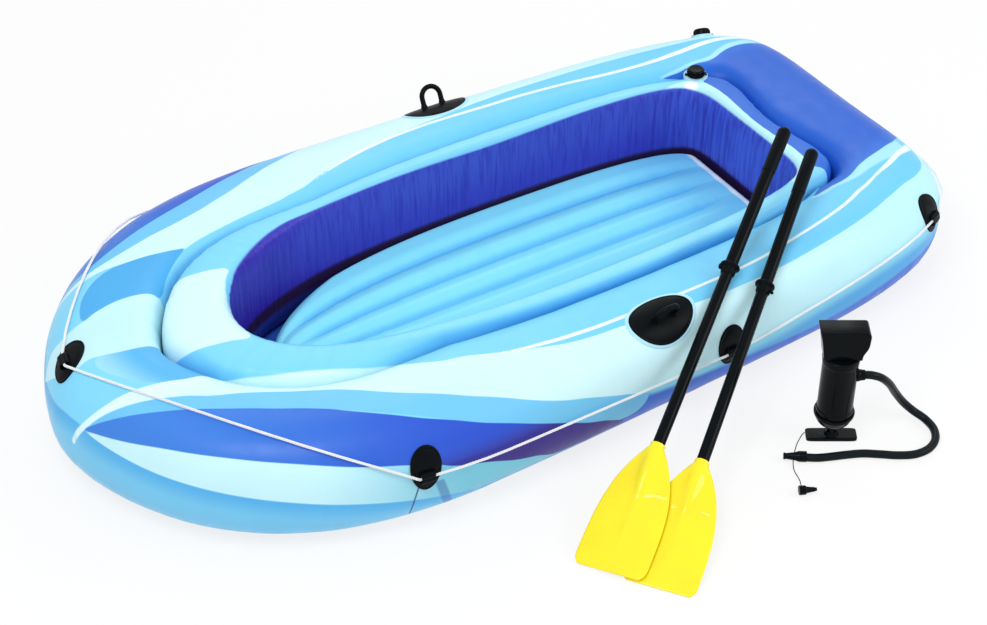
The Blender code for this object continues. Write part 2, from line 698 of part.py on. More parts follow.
def make_valve(tag, frame, seats):
    """A welded base, a plug that screws into it and a cap on a side hinge."""
    flange = VALVE_FLANGE_THICKNESS
    plug_top = VALVE_NECK_TOP + FIT_GAP + PLUG_HEAD_THICKNESS
    base = turned([(VALVE_BORE_RADIUS, VALVE_NECK_TOP), (VALVE_NECK_RADIUS, VALVE_NECK_TOP),
                   (VALVE_NECK_RADIUS, flange), (VALVE_FLANGE_RADIUS, flange),
                   (VALVE_FLANGE_RADIUS, -VALVE_ROOT), (VALVE_BORE_RADIUS, -VALVE_ROOT)],
                  f"valve_base_{tag}", 20, frame)
    for seat in seats:
        combine(base, seat, "DIFFERENCE")
    keep(base, f"valve_base_{tag}", BLACK_PLASTIC)
    shank = VALVE_BORE_RADIUS - FIT_GAP
    plug = turned([(0.0, plug_top), (PLUG_HEAD_RADIUS, plug_top),
                   (PLUG_HEAD_RADIUS, VALVE_NECK_TOP + FIT_GAP), (shank, VALVE_NECK_TOP + FIT_GAP),
                   (shank, VALVE_NECK_TOP - PLUG_LENGTH), (0.0, VALVE_NECK_TOP - PLUG_LENGTH)],
                  f"valve_plug_{tag}", 16, frame)
    keep(plug, f"valve_plug_{tag}", BLACK_PLASTIC)
    inside = PLUG_HEAD_RADIUS + CAP_CLEARANCE
    outside = inside + CAP_WALL
    seat = flange + FIT_GAP
    ceiling = plug_top + 0.0007
    cap = turned([(0.0, ceiling + CAP_CEILING), (outside - 0.001, ceiling + CAP_CEILING),
                  (outside, ceiling + CAP_CEILING - 0.001), (outside, seat), (inside, seat),
                  (inside, ceiling), (0.0, ceiling)],
                 f"valve_cap_{tag}", 20, frame)
    tab = bmesh.new()
    bmesh.ops.create_cube(tab, size=1.0)
    tab_length = -CAP_HINGE_X - outside + CAP_WALL / 2
    bmesh.ops.scale(tab, vec=(tab_length, CAP_TAB_WIDTH, 2 * CAP_KNUCKLE_RADIUS), verts=tab.verts)
    bmesh.ops.translate(tab, vec=(CAP_HINGE_X + tab_length / 2, 0.0, seat + CAP_KNUCKLE_RADIUS), verts=tab.verts)
    strap = hide_cutter(from_bmesh(tab, f"strap_{tag}", CUTTERS))
    strap.matrix_world = frame
    knuckle = bmesh.new()
    bmesh.ops.create_cone(knuckle, cap_ends=True, segments=10, radius1=CAP_KNUCKLE_RADIUS,
                          radius2=CAP_KNUCKLE_RADIUS, depth=CAP_TAB_WIDTH + 0.002)
    bmesh.ops.rotate(knuckle, matrix=Matrix.Rotation(pi / 2, 3, "X"), verts=knuckle.verts)
    bmesh.ops.translate(knuckle, vec=(CAP_HINGE_X, 0.0, seat + CAP_KNUCKLE_RADIUS), verts=knuckle.verts)
    pin = hide_cutter(from_bmesh(knuckle, f"knuckle_{tag}", CUTTERS))
    pin.matrix_world = frame
    combine(cap, strap, "UNION")
    combine(cap, pin, "UNION")
    keep(cap, f"valve_cap_{tag}", BLACK_PLASTIC)
    hinge = frame @ Matrix.Translation((CAP_HINGE_X, 0.0, seat + CAP_KNUCKLE_RADIUS))
    group(f"hinge_{tag}", hinge, [cap])


def make_valves(hull):
    """The outer valve leans with the tube, and the other two stand upright."""
    make_valve("outer", skin_frame(outer_skin, stern_around(OUTER_VALVE_BEARING, -1), OUTER_VALVE_ROLL, FIT_GAP), [hull])
    inner = hide_cutter(chamber(inner_skin, INNER_SIDES, "inner_cutter", PAD_LIFT, CUTTERS))
    around = stern_around(INNER_VALVE_BEARING, -1)
    forward = skin_frame(inner_skin, around, pi / 2, 0.0).col[0].xyz
    place = (SPINE_BACK_X + INNER_VALVE_REACH * cos(INNER_VALVE_BEARING),
             INNER_VALVE_REACH * sin(INNER_VALVE_BEARING), HULL_HEIGHT + FIT_GAP)
    make_valve("inner", frame_from(place, forward, (0, 0, 1)), [hull, inner])
    cushion = hide_cutter(loft(floor_rings(FIT_GAP), "cushion_cutter", False, CUTTERS))
    across = -1 + (2 * FLOOR_VALVE_CHANNEL + 1) / FLOOR_CHANNELS
    place = (FLOOR_VALVE_X, across * floor_half_width(FLOOR_VALVE_X), floor_top(across, 1.0) + FIT_GAP)
    make_valve("floor", frame_from(place, (1, 0, 0), (0, 0, 1)), [cushion])


def oar_radius(along):
    """Radius of an oar's shaft at a distance from the blade's tip."""
    joint = OAR_LENGTH - OAR_UPPER_LENGTH
    if along < joint - OAR_COLLAR_LENGTH:
        return OAR_LOWER_RADIUS
    if along < joint - 2 * OAR_COLLAR_LIP:
        return OAR_UPPER_RADIUS + 0.001
    return OAR_COLLAR_RADIUS if along < joint else OAR_UPPER_RADIUS


def lean_angle(tree, tip, heading, tip_height):
    """Slope at which a shaft with its blade tip on the ground rests on the hull."""
    low, high = radians(6), radians(60)
    while high - low > 1e-6:
        middle = (low + high) / 2
        way = Vector((cos(heading) * cos(middle), sin(heading) * cos(middle), sin(middle)))
        clear = True
        for number in range(376):
            along = OAR_LENGTH * (0.25 + 0.75 * number / 375)
            point = Vector((*tip, tip_height)) + way * along
            near, normal, _, distance = tree.find_nearest(point)
            outside = (point - near).dot(normal) > 0
            if not outside or distance < oar_radius(along) + FIT_GAP:
                clear = False
                break
        if clear:
            high = middle
        else:
            low = middle
    return high


def blade_section(along, count):
    """Points across the blade at a distance along it from its socket's mouth."""
    share = max(0.0, (along - 0.15 * BLADE_SOCKET_DEPTH) / (BLADE_LENGTH - 0.15 * BLADE_SOCKET_DEPTH))
    flare = 1 - (1 - min(1.0, share / 0.92)) ** 2.5
    end = max(0.0, (share - 0.90) / 0.10)
    half = BLADE_SOCKET_RADIUS + (BLADE_WIDTH / 2 - BLADE_SOCKET_RADIUS) * flare
    half *= 1.0 - (1.0 - BLADE_TIP_WIDTH / BLADE_WIDTH) * end ** 3
    taper = min(1.0, max(0.0, (along - BLADE_SOCKET_DEPTH - 0.004) / (0.25 * BLADE_LENGTH)))
    rib = BLADE_SOCKET_RADIUS + (BLADE_RIB - BLADE_SOCKET_RADIUS) * taper
    rib += (BLADE_THICKNESS / 2 - BLADE_RIB) * max(0.0, (share - 0.45) / 0.55)
    crown = BLADE_CROWN * sin(pi * min(1.0, share)) * min(1.0, share / 0.2)
    points = []
    for number in range(count):
        turn = 2 * pi * number / count
        across = cos(turn)
        bulge = abs(sin(turn))
        edge = BLADE_THICKNESS / 2 * min(1.0, bulge * 3)
        ridge = (rib - BLADE_THICKNESS / 2) * max(0.0, 1 - abs(across) * half / rib / 1.6) ** 0.8
        inside = abs(across) * half / rib
        flat = max(edge + ridge, rib * (1 - inside ** 2) ** 0.5 if inside < 1 else 0.0)
        round_part = rib * bulge
        mix = min(1.0, share / 0.12)
        thick = round_part * (1 - mix) + flat * mix
        points.append((half * across, copysign(thick, sin(turn)) + crown * (0.4 - across ** 2) * mix, along))
    return points


def make_oar(tag, frame):
    """Five pieces along the local Z axis, which starts at the blade's tip and runs up the shaft."""
    bore = OAR_LOWER_RADIUS + FIT_GAP
    socket_mouth = BLADE_LENGTH
    joint = OAR_LENGTH - OAR_UPPER_LENGTH
    rings = []
    stations = (0.0, 0.006, 0.016, 0.034, 0.06, 0.09, 0.12, 0.15, 0.18, 0.205, 0.23, 0.25, 0.268, 0.285)
    for height in stations:
        along = (BLADE_LENGTH - height * BLADE_LENGTH / stations[-1])
        rings.append([(x, y, height * BLADE_LENGTH / stations[-1]) for x, y, _ in blade_section(along, 16)])
    blade = loft(rings, f"{tag}_blade")
    blade.matrix_world = frame
    hole = bmesh.new()
    bmesh.ops.create_cone(hole, cap_ends=True, segments=16, radius1=bore, radius2=bore,
                          depth=2 * BLADE_SOCKET_DEPTH)
    bmesh.ops.translate(hole, vec=(0.0, 0.0, socket_mouth), verts=hole.verts)
    cutter = hide_cutter(from_bmesh(hole, f"{tag}_socket", CUTTERS))
    cutter.matrix_world = frame
    combine(blade, cutter, "DIFFERENCE")
    keep(blade, f"{tag}_blade", YELLOW_PLASTIC, 50)

    lower_start = socket_mouth - BLADE_SOCKET_DEPTH + FIT_GAP
    lower_end = joint + OAR_PLUG_DEPTH
    wall = OAR_LOWER_RADIUS - OAR_SHAFT_WALL
    lower = turned([(wall, lower_end), (OAR_LOWER_RADIUS, lower_end), (OAR_LOWER_RADIUS, lower_start),
                    (wall, lower_start)], f"{tag}_lower_shaft", 14, frame)
    keep(lower, f"{tag}_lower_shaft", BLACK_PLASTIC)

    upper_end = OAR_LENGTH - GRIP_LENGTH + GRIP_PLUG_DEPTH
    upper = turned([(bore, upper_end), (OAR_UPPER_RADIUS, upper_end), (OAR_UPPER_RADIUS, joint),
                    (bore, joint)], f"{tag}_upper_shaft", 14, frame)
    keep(upper, f"{tag}_upper_shaft", BLACK_PLASTIC)

    ring = OAR_LOWER_RADIUS + FIT_GAP
    top = joint - FIT_GAP
    low = top - OAR_COLLAR_LENGTH
    collar = turned([(ring, top), (OAR_COLLAR_RADIUS, top), (OAR_COLLAR_RADIUS, top - OAR_COLLAR_LIP),
                     (OAR_UPPER_RADIUS + 0.001, top - 2 * OAR_COLLAR_LIP),
                     (OAR_UPPER_RADIUS + 0.001, low + OAR_COLLAR_LIP), (OAR_UPPER_RADIUS, low), (ring, low)],
                    f"{tag}_collar", 16, frame)
    keep(collar, f"{tag}_collar", BLACK_VINYL)

    sleeve = OAR_UPPER_RADIUS + FIT_GAP
    start = OAR_LENGTH - GRIP_LENGTH
    end_cap = upper_end + FIT_GAP
    nose = [(0.0, OAR_LENGTH)]
    for number in range(1, 5):
        turn = pi / 2 * number / 4
        nose.append((GRIP_RADIUS * sin(turn), OAR_LENGTH - GRIP_RADIUS * (1 - cos(turn))))
    grip = turned(nose + [(GRIP_RADIUS, start), (sleeve, start), (sleeve, end_cap), (0.0, end_cap)],
                  f"{tag}_grip", 14, frame)
    keep(grip, f"{tag}_grip", BLACK_VINYL)


def make_oars(tree):
    for tag, tip, heading, roll in OAR_LEANS:
        tip_height = FIT_GAP + BLADE_THICKNESS / 2 + BLADE_TIP_WIDTH / 2 * abs(sin(roll))
        angle = lean_angle(tree, tip, heading, tip_height)
        way = Vector((cos(heading) * cos(angle), sin(heading) * cos(angle), sin(angle)))
        left = Vector((-sin(heading), cos(heading), 0.0))
        frame = frame_from((*tip, tip_height), left, way) @ Matrix.Rotation(roll, 4, "Z")
        print(tag, "leans at", round(degrees(angle), 2), "grip end", [round(v, 4) for v in frame @ Vector((0, 0, OAR_LENGTH))])
        make_oar(tag, frame)
        pieces = ("blade", "lower_shaft", "upper_shaft", "collar", "grip")
        group(tag, frame, [bpy.data.objects[f"{tag}_{piece}"] for piece in pieces])


def pump_frame():
    turn = Matrix.Rotation(PUMP_HEADING, 4, "Z")
    return Matrix.Translation((*PUMP_PLACE, 0.0)) @ turn


def make_box(size, centre, name, frame, collection=PART, bevel=0.0):
    mesh = bmesh.new()
    bmesh.ops.create_cube(mesh, size=1.0)
    bmesh.ops.scale(mesh, vec=size, verts=mesh.verts)
    bmesh.ops.translate(mesh, vec=centre, verts=mesh.verts)
    body = from_bmesh(mesh, name, collection)
    body.matrix_world = frame
    if bevel:
        edge = body.modifiers.new("edge", "BEVEL")
        edge.width = bevel
        edge.segments = 2
    return body


def make_pump():
    frame = pump_frame()
    foot_top = FOOT_THICKNESS
    foot = make_box((FOOT_LENGTH, FOOT_WIDTH, FOOT_THICKNESS), (0, 0, FOOT_THICKNESS / 2),
                    "pump_foot", frame, bevel=0.002)
    keep(foot, "pump_foot", BLACK_PLASTIC)

    inside = BARREL_RADIUS - BARREL_WALL
    base_top = CONE_TOP_Z
    base = turned([(0.0, base_top), (FLARE_RADIUS, base_top), (FLARE_RADIUS, base_top - 0.005),
                   (FLARE_RADIUS * 0.82, base_top - 0.022), (FLARE_RADIUS * 0.45, base_top - 0.036),
                   (NECK_RADIUS, base_top - 0.044), (NECK_RADIUS, foot_top + 0.006),
                   (NECK_RADIUS * 1.6, foot_top + FIT_GAP), (0.0, foot_top + FIT_GAP)],
                  "pump_base", 24, frame)
    keep(base, "pump_base", BLACK_PLASTIC)

    low = base_top + FIT_GAP
    barrel = turned([(inside, BARREL_TOP_Z), (BARREL_RADIUS, BARREL_TOP_Z), (BARREL_RADIUS, low),
                     (inside, low)], "pump_barrel", 24, frame)
    port = bmesh.new()
    bmesh.ops.create_cone(port, cap_ends=True, segments=12, radius1=HOSE_RADIUS, radius2=HOSE_RADIUS,
                          depth=BARREL_WALL * 4)
    bmesh.ops.rotate(port, matrix=Matrix.Rotation(pi / 2, 3, "Y"), verts=port.verts)
    bmesh.ops.translate(port, vec=(BARREL_RADIUS, 0.0, HOSE_PORT_Z), verts=port.verts)
    hole = hide_cutter(from_bmesh(port, "port_hole", CUTTERS))
    hole.matrix_world = frame
    combine(barrel, hole, "DIFFERENCE")
    keep(barrel, "pump_barrel", BLACK_PLASTIC)

    cap_low = BARREL_TOP_Z + FIT_GAP
    cap_top = cap_low + PUMP_CAP_THICKNESS
    rod_bore = ROD_RADIUS + FIT_GAP
    cap = turned([(rod_bore, cap_top), (BARREL_RADIUS + 0.001, cap_top), (BARREL_RADIUS + 0.001, cap_low),
                  (rod_bore, cap_low)], "pump_cap", 24, frame)
    keep(cap, "pump_cap", BLACK_PLASTIC)

    piston_low = low + 0.004
    piston_radius = inside - PISTON_CLEARANCE
    groove = piston_radius - 2 * SEAL_RADIUS + 0.0004
    middle = piston_low + PISTON_THICKNESS / 2
    piston = turned([(rod_bore, piston_low + PISTON_THICKNESS), (piston_radius, piston_low + PISTON_THICKNESS),
                     (piston_radius, middle + SEAL_RADIUS + FIT_GAP), (groove, middle + SEAL_RADIUS + FIT_GAP),
                     (groove, middle - SEAL_RADIUS - FIT_GAP), (piston_radius, middle - SEAL_RADIUS - FIT_GAP),
                     (piston_radius, piston_low), (rod_bore, piston_low)], "pump_piston", 24, frame)
    keep(piston, "pump_piston", BLACK_PLASTIC)

    seal_centre = groove + FIT_GAP + SEAL_RADIUS
    profile = []
    for number in range(8):
        turn = -2 * pi * number / 8
        profile.append((seal_centre + SEAL_RADIUS * cos(turn), middle + SEAL_RADIUS * sin(turn)))
    keep(turned(profile, "piston_seal", 24, frame), "piston_seal", SEAL_RUBBER)

    handle_low = cap_top + FIT_GAP
    rod_top = handle_low + 0.030
    rod = turned([(0.0, rod_top), (ROD_RADIUS, rod_top), (ROD_RADIUS, piston_low - 0.002),
                  (0.0, piston_low - 0.002)], "pump_rod", 12, frame)
    keep(rod, "pump_rod", BLACK_PLASTIC)

    half_top = HANDLE_WIDTH / 2
    half_low = HANDLE_SHOULDER_WIDTH / 2
    grip_low = PUMP_HEIGHT - HANDLE_GRIP_HEIGHT
    outline = [(-half_low, handle_low), (half_low, handle_low), (half_low + 0.002, handle_low + 0.012),
               (half_top - 0.003, grip_low), (half_top, PUMP_HEIGHT - 0.006), (half_top - 0.006, PUMP_HEIGHT),
               (-half_top + 0.002, PUMP_HEIGHT), (-half_top, PUMP_HEIGHT - 0.003),
               (-half_top + 0.004, grip_low), (-half_low - 0.001, handle_low + 0.020)]
    mesh = bmesh.new()
    front = [mesh.verts.new((x, -HANDLE_DEPTH / 2, z)) for x, z in outline]
    face = mesh.faces.new(front)
    pushed = bmesh.ops.extrude_face_region(mesh, geom=[face])
    back = [item for item in pushed["geom"] if isinstance(item, bmesh.types.BMVert)]
    bmesh.ops.translate(mesh, vec=(0.0, HANDLE_DEPTH, 0.0), verts=back)
    bmesh.ops.recalc_face_normals(mesh, faces=mesh.faces)
    handle = from_bmesh(mesh, "pump_handle")
    handle.matrix_world = frame
    edge = handle.modifiers.new("edge", "BEVEL")
    edge.width = HANDLE_EDGE
    edge.segments = 2
    edge.limit_method = "ANGLE"
    edge.angle_limit = radians(60)
    shaft = bmesh.new()
    bmesh.ops.create_cone(shaft, cap_ends=True, segments=16, radius1=rod_bore, radius2=rod_bore, depth=0.062)
    bmesh.ops.translate(shaft, vec=(0.0, 0.0, handle_low), verts=shaft.verts)
    cutter = hide_cutter(from_bmesh(shaft, "rod_socket", CUTTERS))
    cutter.matrix_world = frame
    combine(handle, cutter, "DIFFERENCE")
    keep(handle, "pump_handle", BLACK_PLASTIC)


def cord_points(route, spacing):
    """Smooth curve through a cord's route, with a point every step or so."""
    frame = pump_frame()
    knots = [frame @ Vector(point) for point in route]
    points = []
    for index in range(len(knots) - 1):
        before = knots[max(0, index - 1)]
        start, end = knots[index], knots[index + 1]
        after = knots[min(len(knots) - 1, index + 2)]
        steps = max(1, round((end - start).length / spacing))
        for number in range(steps):
            share = number / steps
            leave = (end - before) / 2
            arrive = (after - start) / 2
            points.append(start * (2 * share ** 3 - 3 * share ** 2 + 1)
                          + leave * (share ** 3 - 2 * share ** 2 + share)
                          + end * (-2 * share ** 3 + 3 * share ** 2)
                          + arrive * (share ** 3 - share ** 2))
    points.append(knots[-1])
    return points


def make_hose():
    frame = pump_frame()
    out = Matrix.Rotation(pi / 2, 4, "Y")
    port_frame = frame @ Matrix.Translation((0.0, 0.0, HOSE_PORT_Z)) @ out
    reach_out = BARREL_RADIUS + HOSE_PORT_LENGTH
    hole = HOSE_RADIUS - 0.003
    port = turned([(hole, reach_out), (HOSE_RADIUS + 0.002, reach_out), (HOSE_RADIUS + 0.003, BARREL_RADIUS + 0.003),
                   (HOSE_RADIUS - FIT_GAP, BARREL_RADIUS + 0.001),
                   (HOSE_RADIUS - FIT_GAP, BARREL_RADIUS - BARREL_WALL * 0.6), (hole, BARREL_RADIUS - BARREL_WALL * 0.6)],
                  "hose_port", 14, port_frame)
    keep(port, "hose_port", BLACK_PLASTIC)
    points = cord_points(HOSE_ROUTE, HOSE_STEP)
    keep(tube(points, HOSE_RADIUS, "pump_hose", 2), "pump_hose", BLACK_HOSE)
    end = points[-1]
    way = (points[-1] - points[-2]).normalized()
    way.z = 0.0
    way.normalize()
    nozzle_frame = frame_from(Vector((end.x, end.y, NOZZLE_RADIUS)) + way * FIT_GAP, (0, 0, 1), way)
    nozzle = turned([(NOZZLE_BORE_RADIUS, NOZZLE_LENGTH), (NOZZLE_TIP_RADIUS, NOZZLE_LENGTH),
                     (NOZZLE_TIP_RADIUS + 0.0015, 0.022), (NOZZLE_RADIUS, 0.014), (NOZZLE_RADIUS, 0.0),
                     (NOZZLE_BORE_RADIUS, 0.0)], "hose_nozzle", 16, nozzle_frame)
    keep(nozzle, "hose_nozzle", BLACK_PLASTIC)
    pieces = ("hose_port", "pump_hose", "hose_nozzle")
    return [bpy.data.objects[name] for name in pieces]


def make_adapter():
    frame = pump_frame() @ Matrix.Translation((*ADAPTER_PLACE, ADAPTER_RADIUS + FIT_GAP))
    frame = frame @ Matrix.Rotation(ADAPTER_HEADING, 4, "Z") @ Matrix.Rotation(pi / 2, 4, "Y")
    adapter = turned([(ADAPTER_BORE_RADIUS, ADAPTER_LENGTH), (ADAPTER_TIP_RADIUS, ADAPTER_LENGTH),
                      (ADAPTER_RADIUS * 0.72, ADAPTER_LENGTH * 0.42), (ADAPTER_RADIUS, ADAPTER_LENGTH * 0.36),
                      (ADAPTER_RADIUS, 0.0), (ADAPTER_BORE_RADIUS, 0.0)], "valve_adapter", 14, frame)
    keep(adapter, "valve_adapter", BLACK_PLASTIC)
    points = cord_points(TETHER_ROUTE, TETHER_STEP)
    tether = keep(tube(points, TETHER_DIAMETER / 2, "adapter_tether", 2), "adapter_tether", BLACK_VINYL)
    return [adapter, tether]


def group(name, place, pieces):
    """Hang pieces from an empty at their joint or their base."""
    handle = bpy.data.objects.new(name, None)
    PART.objects.link(handle)
    handle.matrix_world = place
    bpy.context.view_layer.update()
    for piece in pieces:
        piece.parent = handle
        piece.matrix_parent_inverse = handle.matrix_world.inverted()
    return handle


def main():
    make_bottom_sheet()
    outer = keep(chamber(outer_skin, OUTER_SIDES, "outer_chamber"), "outer_chamber", PRINTED_VINYL, 60)
    keep(chamber(inner_skin, INNER_SIDES, "inner_chamber"), "inner_chamber", WALL_VINYL, 60)
    make_floor()
    hull = hide_cutter(chamber(outer_skin, OUTER_SIDES, "hull_cutter", PAD_LIFT, CUTTERS))
    make_rope_and_holders(hull)
    make_oarlocks(hull)
    make_valves(hull)
    bpy.context.view_layer.update()
    tree = BVHTree.FromObject(outer, bpy.context.evaluated_depsgraph_get())
    make_oars(tree)
    make_pump()
    pump = [body for body in PART.objects if body.name.startswith(("pump_", "piston_"))]
    group("pump", pump_frame(), pump + make_hose() + make_adapter())


main()
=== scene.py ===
"""Inflatable boat with its oars and hand pump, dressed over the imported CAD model."""

from math import atan2, copysign, cos, exp, hypot, pi, radians, sin, sqrt

import bmesh
import bpy
import numpy as np
from mathutils import Matrix, Vector, noise


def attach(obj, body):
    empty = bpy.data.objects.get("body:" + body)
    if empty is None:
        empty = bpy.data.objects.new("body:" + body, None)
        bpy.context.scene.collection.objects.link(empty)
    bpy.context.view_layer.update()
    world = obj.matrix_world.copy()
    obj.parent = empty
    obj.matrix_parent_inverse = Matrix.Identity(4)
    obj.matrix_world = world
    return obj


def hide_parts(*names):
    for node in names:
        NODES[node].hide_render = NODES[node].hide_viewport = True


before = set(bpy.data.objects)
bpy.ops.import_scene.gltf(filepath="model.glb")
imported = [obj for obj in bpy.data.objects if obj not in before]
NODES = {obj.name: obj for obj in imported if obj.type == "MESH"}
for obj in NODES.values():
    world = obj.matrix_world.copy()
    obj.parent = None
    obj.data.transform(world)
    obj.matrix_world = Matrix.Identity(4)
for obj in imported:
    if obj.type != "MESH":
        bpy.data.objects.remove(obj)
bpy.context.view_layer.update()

# Sizes shared with the CAD source
FIT_GAP = 0.0003
HULL_LENGTH, HULL_WIDTH, HULL_HEIGHT = 1.88, 0.982, 0.24
HULL_BEAM_X, HULL_BOW_POWERS, HULL_STERN_POWERS = -0.195, (2.97, 1.6), (7.1, 5.83)
STERN_NARROWING, NARROWING_START_X = 0.122, -0.30
COCKPIT_FRONT_X, COCKPIT_BACK_X, COCKPIT_WIDTH, COCKPIT_BEAM_X = -0.553, 0.642, 0.496, 0.302
COCKPIT_BOW_POWERS, COCKPIT_STERN_POWERS = (2.95, 2.3), (2.02, 9.39)
TUBE_WIDTH, TUBE_POWER, WALL_POWER, INNER_TUBE_LEAST = 0.231, 2.4, 5.0, 0.045
SHEET_THICKNESS = 0.001
SPINE_FRONT_X, SPINE_BACK_X, TURN_RADIUS = -0.30, 0.45, 0.45
FLOOR_HEIGHT, FLOOR_CHANNELS, FLOOR_BOW_GAP, FLOOR_STERN_GAP = 0.075, 6, 0.074, 0.008
PUMP_PLACE, PUMP_HEADING = (0.360, -0.663), radians(-31.8)
HOSE_DIAMETER, TETHER_DIAMETER = 0.016, 0.0018
HOSE_ROUTE = (
    (0.0496, 0.000, 0.155), (0.060, 0.000, 0.1548), (0.081, 0.005, 0.144), (0.102, 0.020, 0.116),
    (0.121, 0.040, 0.077), (0.141, 0.052, 0.043), (0.164, 0.053, 0.019), (0.186, 0.039, 0.0100),
    (0.199, 0.012, 0.0083), (0.197, -0.019, 0.0083), (0.180, -0.045, 0.0083), (0.152, -0.060, 0.0083),
    (0.119, -0.063, 0.0083), (0.085, -0.060, 0.0083), (0.052, -0.058, 0.0083), (0.019, -0.062, 0.0083),
    (-0.010, -0.067, 0.0083), (-0.034, -0.070, 0.0083), (-0.055, -0.069, 0.0083),
)
TETHER_ROUTE = (
    (-0.0504, 0.005, 0.0050), (-0.0545, 0.002, 0.0032), (-0.0600, -0.007, 0.0013), (-0.0670, -0.022, 0.0013),
    (-0.0730, -0.040, 0.0013), (-0.0775, -0.057, 0.0013), (-0.0805, -0.074, 0.0013),
    (-0.0815, -0.088, 0.0013), (-0.0805, -0.101, 0.0013), (-0.0765, -0.114, 0.0013),
    (-0.0735, -0.126, 0.0013), (-0.0728, -0.137, 0.0018), (-0.0726, -0.1445, 0.0045),
    (-0.0724, -0.1495, 0.0088),
)
HALF_TURN = pi / 2 * TURN_RADIUS
SIDE_RUN = SPINE_BACK_X - SPINE_FRONT_X
HALF_AROUND = 2 * HALF_TURN + SIDE_RUN
CHAMBER_BOTTOM = SHEET_THICKNESS + FIT_GAP
HULL_LINE = (-HULL_LENGTH / 2, HULL_LENGTH / 2, HULL_BEAM_X, HULL_WIDTH / 2,
             HULL_BOW_POWERS, HULL_STERN_POWERS)
COCKPIT_LINE = (COCKPIT_FRONT_X, COCKPIT_BACK_X, COCKPIT_BEAM_X, COCKPIT_WIDTH / 2,
                COCKPIT_BOW_POWERS, COCKPIT_STERN_POWERS)
FLOOR_LINE = (COCKPIT_FRONT_X + FLOOR_BOW_GAP, COCKPIT_BACK_X - FLOOR_STERN_GAP, *COCKPIT_LINE[2:])

# The photograph's width and focal length in pixels, and its camera's place and view
PHOTO_WIDTH, PHOTO_FOCAL_LENGTH, SENSOR_WIDTH = 987, 2097.9, 36.0
CAMERA_PLACE, CAMERA_VIEW = (-1.76627943, -2.86063413, 2.72206495), (0.40990, 0.66081, -0.62874)


def clamp(value):
    """A value kept between zero and one."""
    return min(1.0, max(0.0, value))


def signed_power(value, power):
    """A value's size to a power, with the value's own sign."""
    return copysign(abs(value) ** power, value)


def turns(count):
    """Angles that go evenly round a circle."""
    return [2 * pi * number / count for number in range(count)]


def halve(low, high, accuracy, goes_on):
    """Close a range in on the value where a test stops being true."""
    while high - low > accuracy:
        middle = (low + high) / 2
        if goes_on(middle):
            low = middle
        else:
            high = middle
    return low, high


def operator(operation, reflected=False):
    """Maths between a signal and another one or a number."""
    def apply(self, other):
        pair = (other, self) if reflected else (self, other)
        return self.owner.node("ShaderNodeMath", {"operation": operation}, *pair)
    return apply


class Signal:
    """A node's socket with a value on it, so that maths in a tree reads as an expression."""

    def __init__(self, owner, socket):
        self.owner, self.socket = owner, socket

    __add__ = __radd__ = operator("ADD")
    __mul__ = __rmul__ = operator("MULTIPLY")
    __sub__, __rsub__ = operator("SUBTRACT"), operator("SUBTRACT", True)
    __truediv__, __rtruediv__ = operator("DIVIDE"), operator("DIVIDE", True)
    __mod__, highest = operator("MODULO"), operator("MAXIMUM")

    def sine(self):
        return self.owner.node("ShaderNodeMath", {"operation": "SINE"}, self)

    def cosine(self):
        return self.owner.node("ShaderNodeMath", {"operation": "COSINE"}, self)

    def grown(self, amount):
        """A vector scaled by a number."""
        return self.owner.node("ShaderNodeVectorMath", {"operation": "SCALE"}, self, amount)

    def plus(self, other):
        """The sum of two vectors."""
        return self.owner.node("ShaderNodeVectorMath", {"operation": "ADD"}, self, other)

    def over(self, start, end, low=0.0, high=1.0):
        """Goes smoothly from low to high as the value goes from start to end."""
        settings = {"interpolation_type": "SMOOTHSTEP"}
        return self.owner.node("ShaderNodeMapRange", settings, self, start, end, low, high)

    def beside(self, label):
        """Another output of the same node."""
        return Signal(self.owner, self.socket.node.outputs[label])


class Tree:
    """A node tree whose nodes all come from one method."""

    def __init__(self, tree):
        self.tree = tree

    def link(self, signal, socket):
        self.tree.links.new(signal.socket, socket)

    def node(self, kind, settings=None, *values, output=0, **named):
        """Add a node: its settings first, then the values or links of its sockets."""
        made = self.tree.nodes.new(kind)
        for key, value in (settings or {}).items():
            setattr(made, key, value)
        sockets = [socket for socket in made.inputs if socket.enabled]
        pairs = list(zip(sockets, values))
        pairs += [(next(socket for socket in sockets if socket.name == key.replace("_", " ")), value)
                  for key, value in named.items()]
        for socket, value in pairs:
            if isinstance(value, Signal):
                self.link(value, socket)
            else:
                socket.default_value = value
        return Signal(self, [socket for socket in made.outputs if socket.enabled][output])


